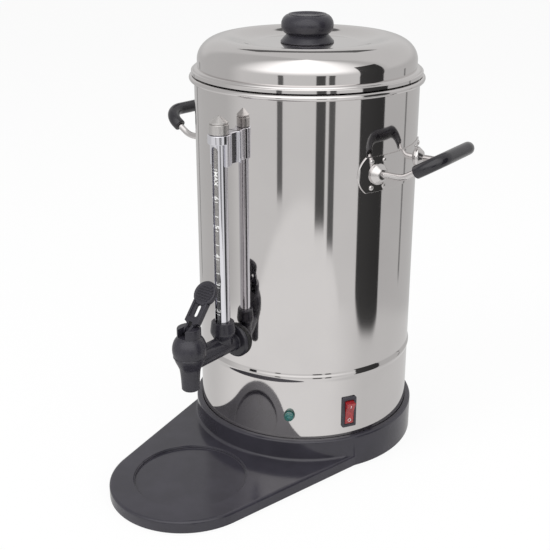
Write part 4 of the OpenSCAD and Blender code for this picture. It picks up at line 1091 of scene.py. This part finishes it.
def studio_floor():
    """A floor that takes the shadow and looks white to the camera and through the glass."""
    clear()
    bpy.ops.mesh.primitive_plane_add(size=60, location=(0, 0, 0))
    floor = named("studio_floor")
    material, f = new_finish("pale_floor")
    ray = f.node("ShaderNodeLightPath")
    seen = ray["Is Camera Ray"].highest(ray["Is Glossy Ray"]).highest(ray["Is Transmission Ray"])
    pale = f.mix(f.noise(0.4, 2), (0.80, 0.80, 0.80), (0.84, 0.84, 0.84))
    matt = f.node("ShaderNodeBsdfDiffuse", None, {"Color": pale})
    white = f.node("ShaderNodeEmission", None, {"Color": WHITE, "Strength": 1.0})
    f.node_out(f.node("ShaderNodeMixShader", None, {0: seen * 0.92, 1: matt, 2: white}))
    floor.data.materials.append(material)
    floor.visible_glossy = False


def room_tone(f):
    """How bright the room is in each direction, as the polished steel shows it."""
    way = f.node("ShaderNodeSeparateXYZ", None, {"Vector": f.node("ShaderNodeTexCoord")["Generated"]})
    x, y, z = way["X"], way["Y"], way["Z"]
    degree = 180 / math.pi
    turn = f.maths("ARCTAN2", x, y * -1) * degree
    lift = f.maths("ARCSINE", z) * degree
    side = turn - 38
    hill = (-17.3 - side.highest(0) ** 2 * 0.0045 - (side * -1).highest(0) ** 2 * 0.002).highest(-23.4)
    wall = 0.56 + turn.band(-41, 106, 12) * 0.16
    ground = 0.67 + turn.band(-60, 85, 25) * 0.20
    above = (lift - hill).rise(-0.7, 0.7)
    softbox = turn.band(-20, 86, 25) * lift.rise(0, 26)
    behind = (1 - turn.band(-100, 125, 8)) * lift.rise(0, 14)
    tone = ground * (1 - above) + wall * above + softbox * 0.9 + behind * 0.12
    # Dark flags: first and last turn, foot and top lift in degrees, and how dark
    wide_foot = ((turn - 108) * 0.075) ** 4 - 24.7
    flags = [(8, 13.5, -17.2, 2, 0.81), (46.5, 56, -18.9, 2, 0.88), (59.3, 65.6, -20, 2, 0.84),
             (92, 121.5, wide_foot, 36, 0.93), (155, 158, -21.5, -8, 0.6), (-112, -109.5, -21.5, -8, 0.6),
             (-164, -122, 36.8, 48.5, 0.8)]
    for first, last, foot, top, dark in flags:
        tone = tone * (1 - turn.band(first, last, 0.6) * lift.band(foot, top, 0.5) * dark)
    return tone


def studio_world(scene):
    """A white backdrop, even light, and the room's tones for reflections."""
    world = bpy.data.worlds.new("studio")
    world.use_nodes = True
    scene.world = world
    f = Finish(world.node_tree)
    ray = f.node("ShaderNodeLightPath")
    lights = ((1, 0.995, 0.985), room_tone(f)), (WHITE, 0.55), (WHITE, 1.0)
    glossy, plain, white = [f.node("ShaderNodeBackground", None, {"Color": colour, "Strength": strength})
                            for colour, strength in lights]
    shown = f.node("ShaderNodeMixShader", None, {0: ray["Is Glossy Ray"], 1: plain, 2: glossy})
    backed = ray["Is Camera Ray"].highest(ray["Is Transmission Ray"])
    f.node_out(f.node("ShaderNodeMixShader", None, {0: backed, 1: shown, 2: white}), "ShaderNodeOutputWorld")


def studio_lamps():
    """Three large soft lamps that polished pieces don't mirror."""
    for name, place, size, power in (("key", (-0.5, -1.5, 1.6), 1.2, 22), ("fill", (1.7, -0.5, 1.1), 1.4, 12),
                                     ("top", (0.1, 0.5, 2.0), 1.6, 14)):
        clear()
        bpy.ops.object.light_add(type="AREA", location=place)
        lamp = named("studio_" + name)
        lamp.data.shape, lamp.data.size, lamp.data.energy = "DISK", size, power
        lamp.visible_glossy = False
        lamp.rotation_euler = (Vector((0, 0, 0.2)) - lamp.location).to_track_quat("-Z", "Y").to_euler()


def studio_camera(scene):
    """The camera: panned and tilted, and turned aside from the body's axis."""
    clear()
    pan, tilt, side = math.radians(37), math.radians(21.53), math.radians(1.785)
    bpy.ops.object.camera_add(location=(0.5886, -0.7810, 0.5493))
    camera = named("studio_camera")
    ahead = Matrix.Rotation(pan, 3, "Z") @ Vector((-math.sin(side) * math.cos(tilt),
                                                   math.cos(side) * math.cos(tilt), -math.sin(tilt)))
    camera.rotation_euler = ahead.to_track_quat("-Z", "Y").to_euler()
    camera.data.lens, camera.data.sensor_width = 66.9, 36
    camera.data.clip_start, camera.data.clip_end = 0.01, 100
    scene.camera = camera


class URN_OT_studio(UrnPiece, bpy.types.Operator):
    """Sets up the pale floor, the soft light and the camera"""
    bl_idname = "urn.studio"
    bl_label = "Studio"

    def execute(self, context):
        studio_floor()
        studio_world(context.scene)
        studio_lamps()
        studio_camera(context.scene)
        context.scene.view_settings.view_transform = "Standard"
        return {"FINISHED"}


STEPS = (URN_OT_finishes, URN_OT_vessel, URN_OT_skirt, URN_OT_lid, URN_OT_knob, URN_OT_base, URN_OT_tap,
         URN_OT_lever, URN_OT_gauge, URN_OT_scale, URN_OT_handles, URN_OT_switch, URN_OT_lamp,
         URN_OT_inner_parts, URN_OT_studio)


class URN_PT_panel(bpy.types.Panel):
    """Lists the urn's pieces, sizes and colours"""
    bl_idname = "URN_PT_panel"
    bl_label = "Coffee urn"
    bl_space_type = "VIEW_3D"
    bl_region_type = "UI"
    bl_category = "Coffee urn"

    def draw(self, context):
        column = self.layout.column()
        for group in (context.scene.urn_sizes, context.scene.urn_colours):
            for name in group.__annotations__:
                column.prop(group, name)
        for step in STEPS:
            column.operator(step.bl_idname)


CLASSES = (UrnSizes, UrnColours, *STEPS, URN_PT_panel)


def register():
    for cls in CLASSES:
        bpy.utils.register_class(cls)
    bpy.types.Scene.urn_sizes = bpy.props.PointerProperty(type=UrnSizes)
    bpy.types.Scene.urn_colours = bpy.props.PointerProperty(type=UrnColours)


def unregister():
    del bpy.types.Scene.urn_colours
    del bpy.types.Scene.urn_sizes
    for cls in reversed(CLASSES):
        bpy.utils.unregister_class(cls)


def main():
    register()
    for step in STEPS:
        group, name = step.bl_idname.split(".")
        getattr(getattr(bpy.ops, group), name)()
    clear()


if __name__ == "__main__":
    main()
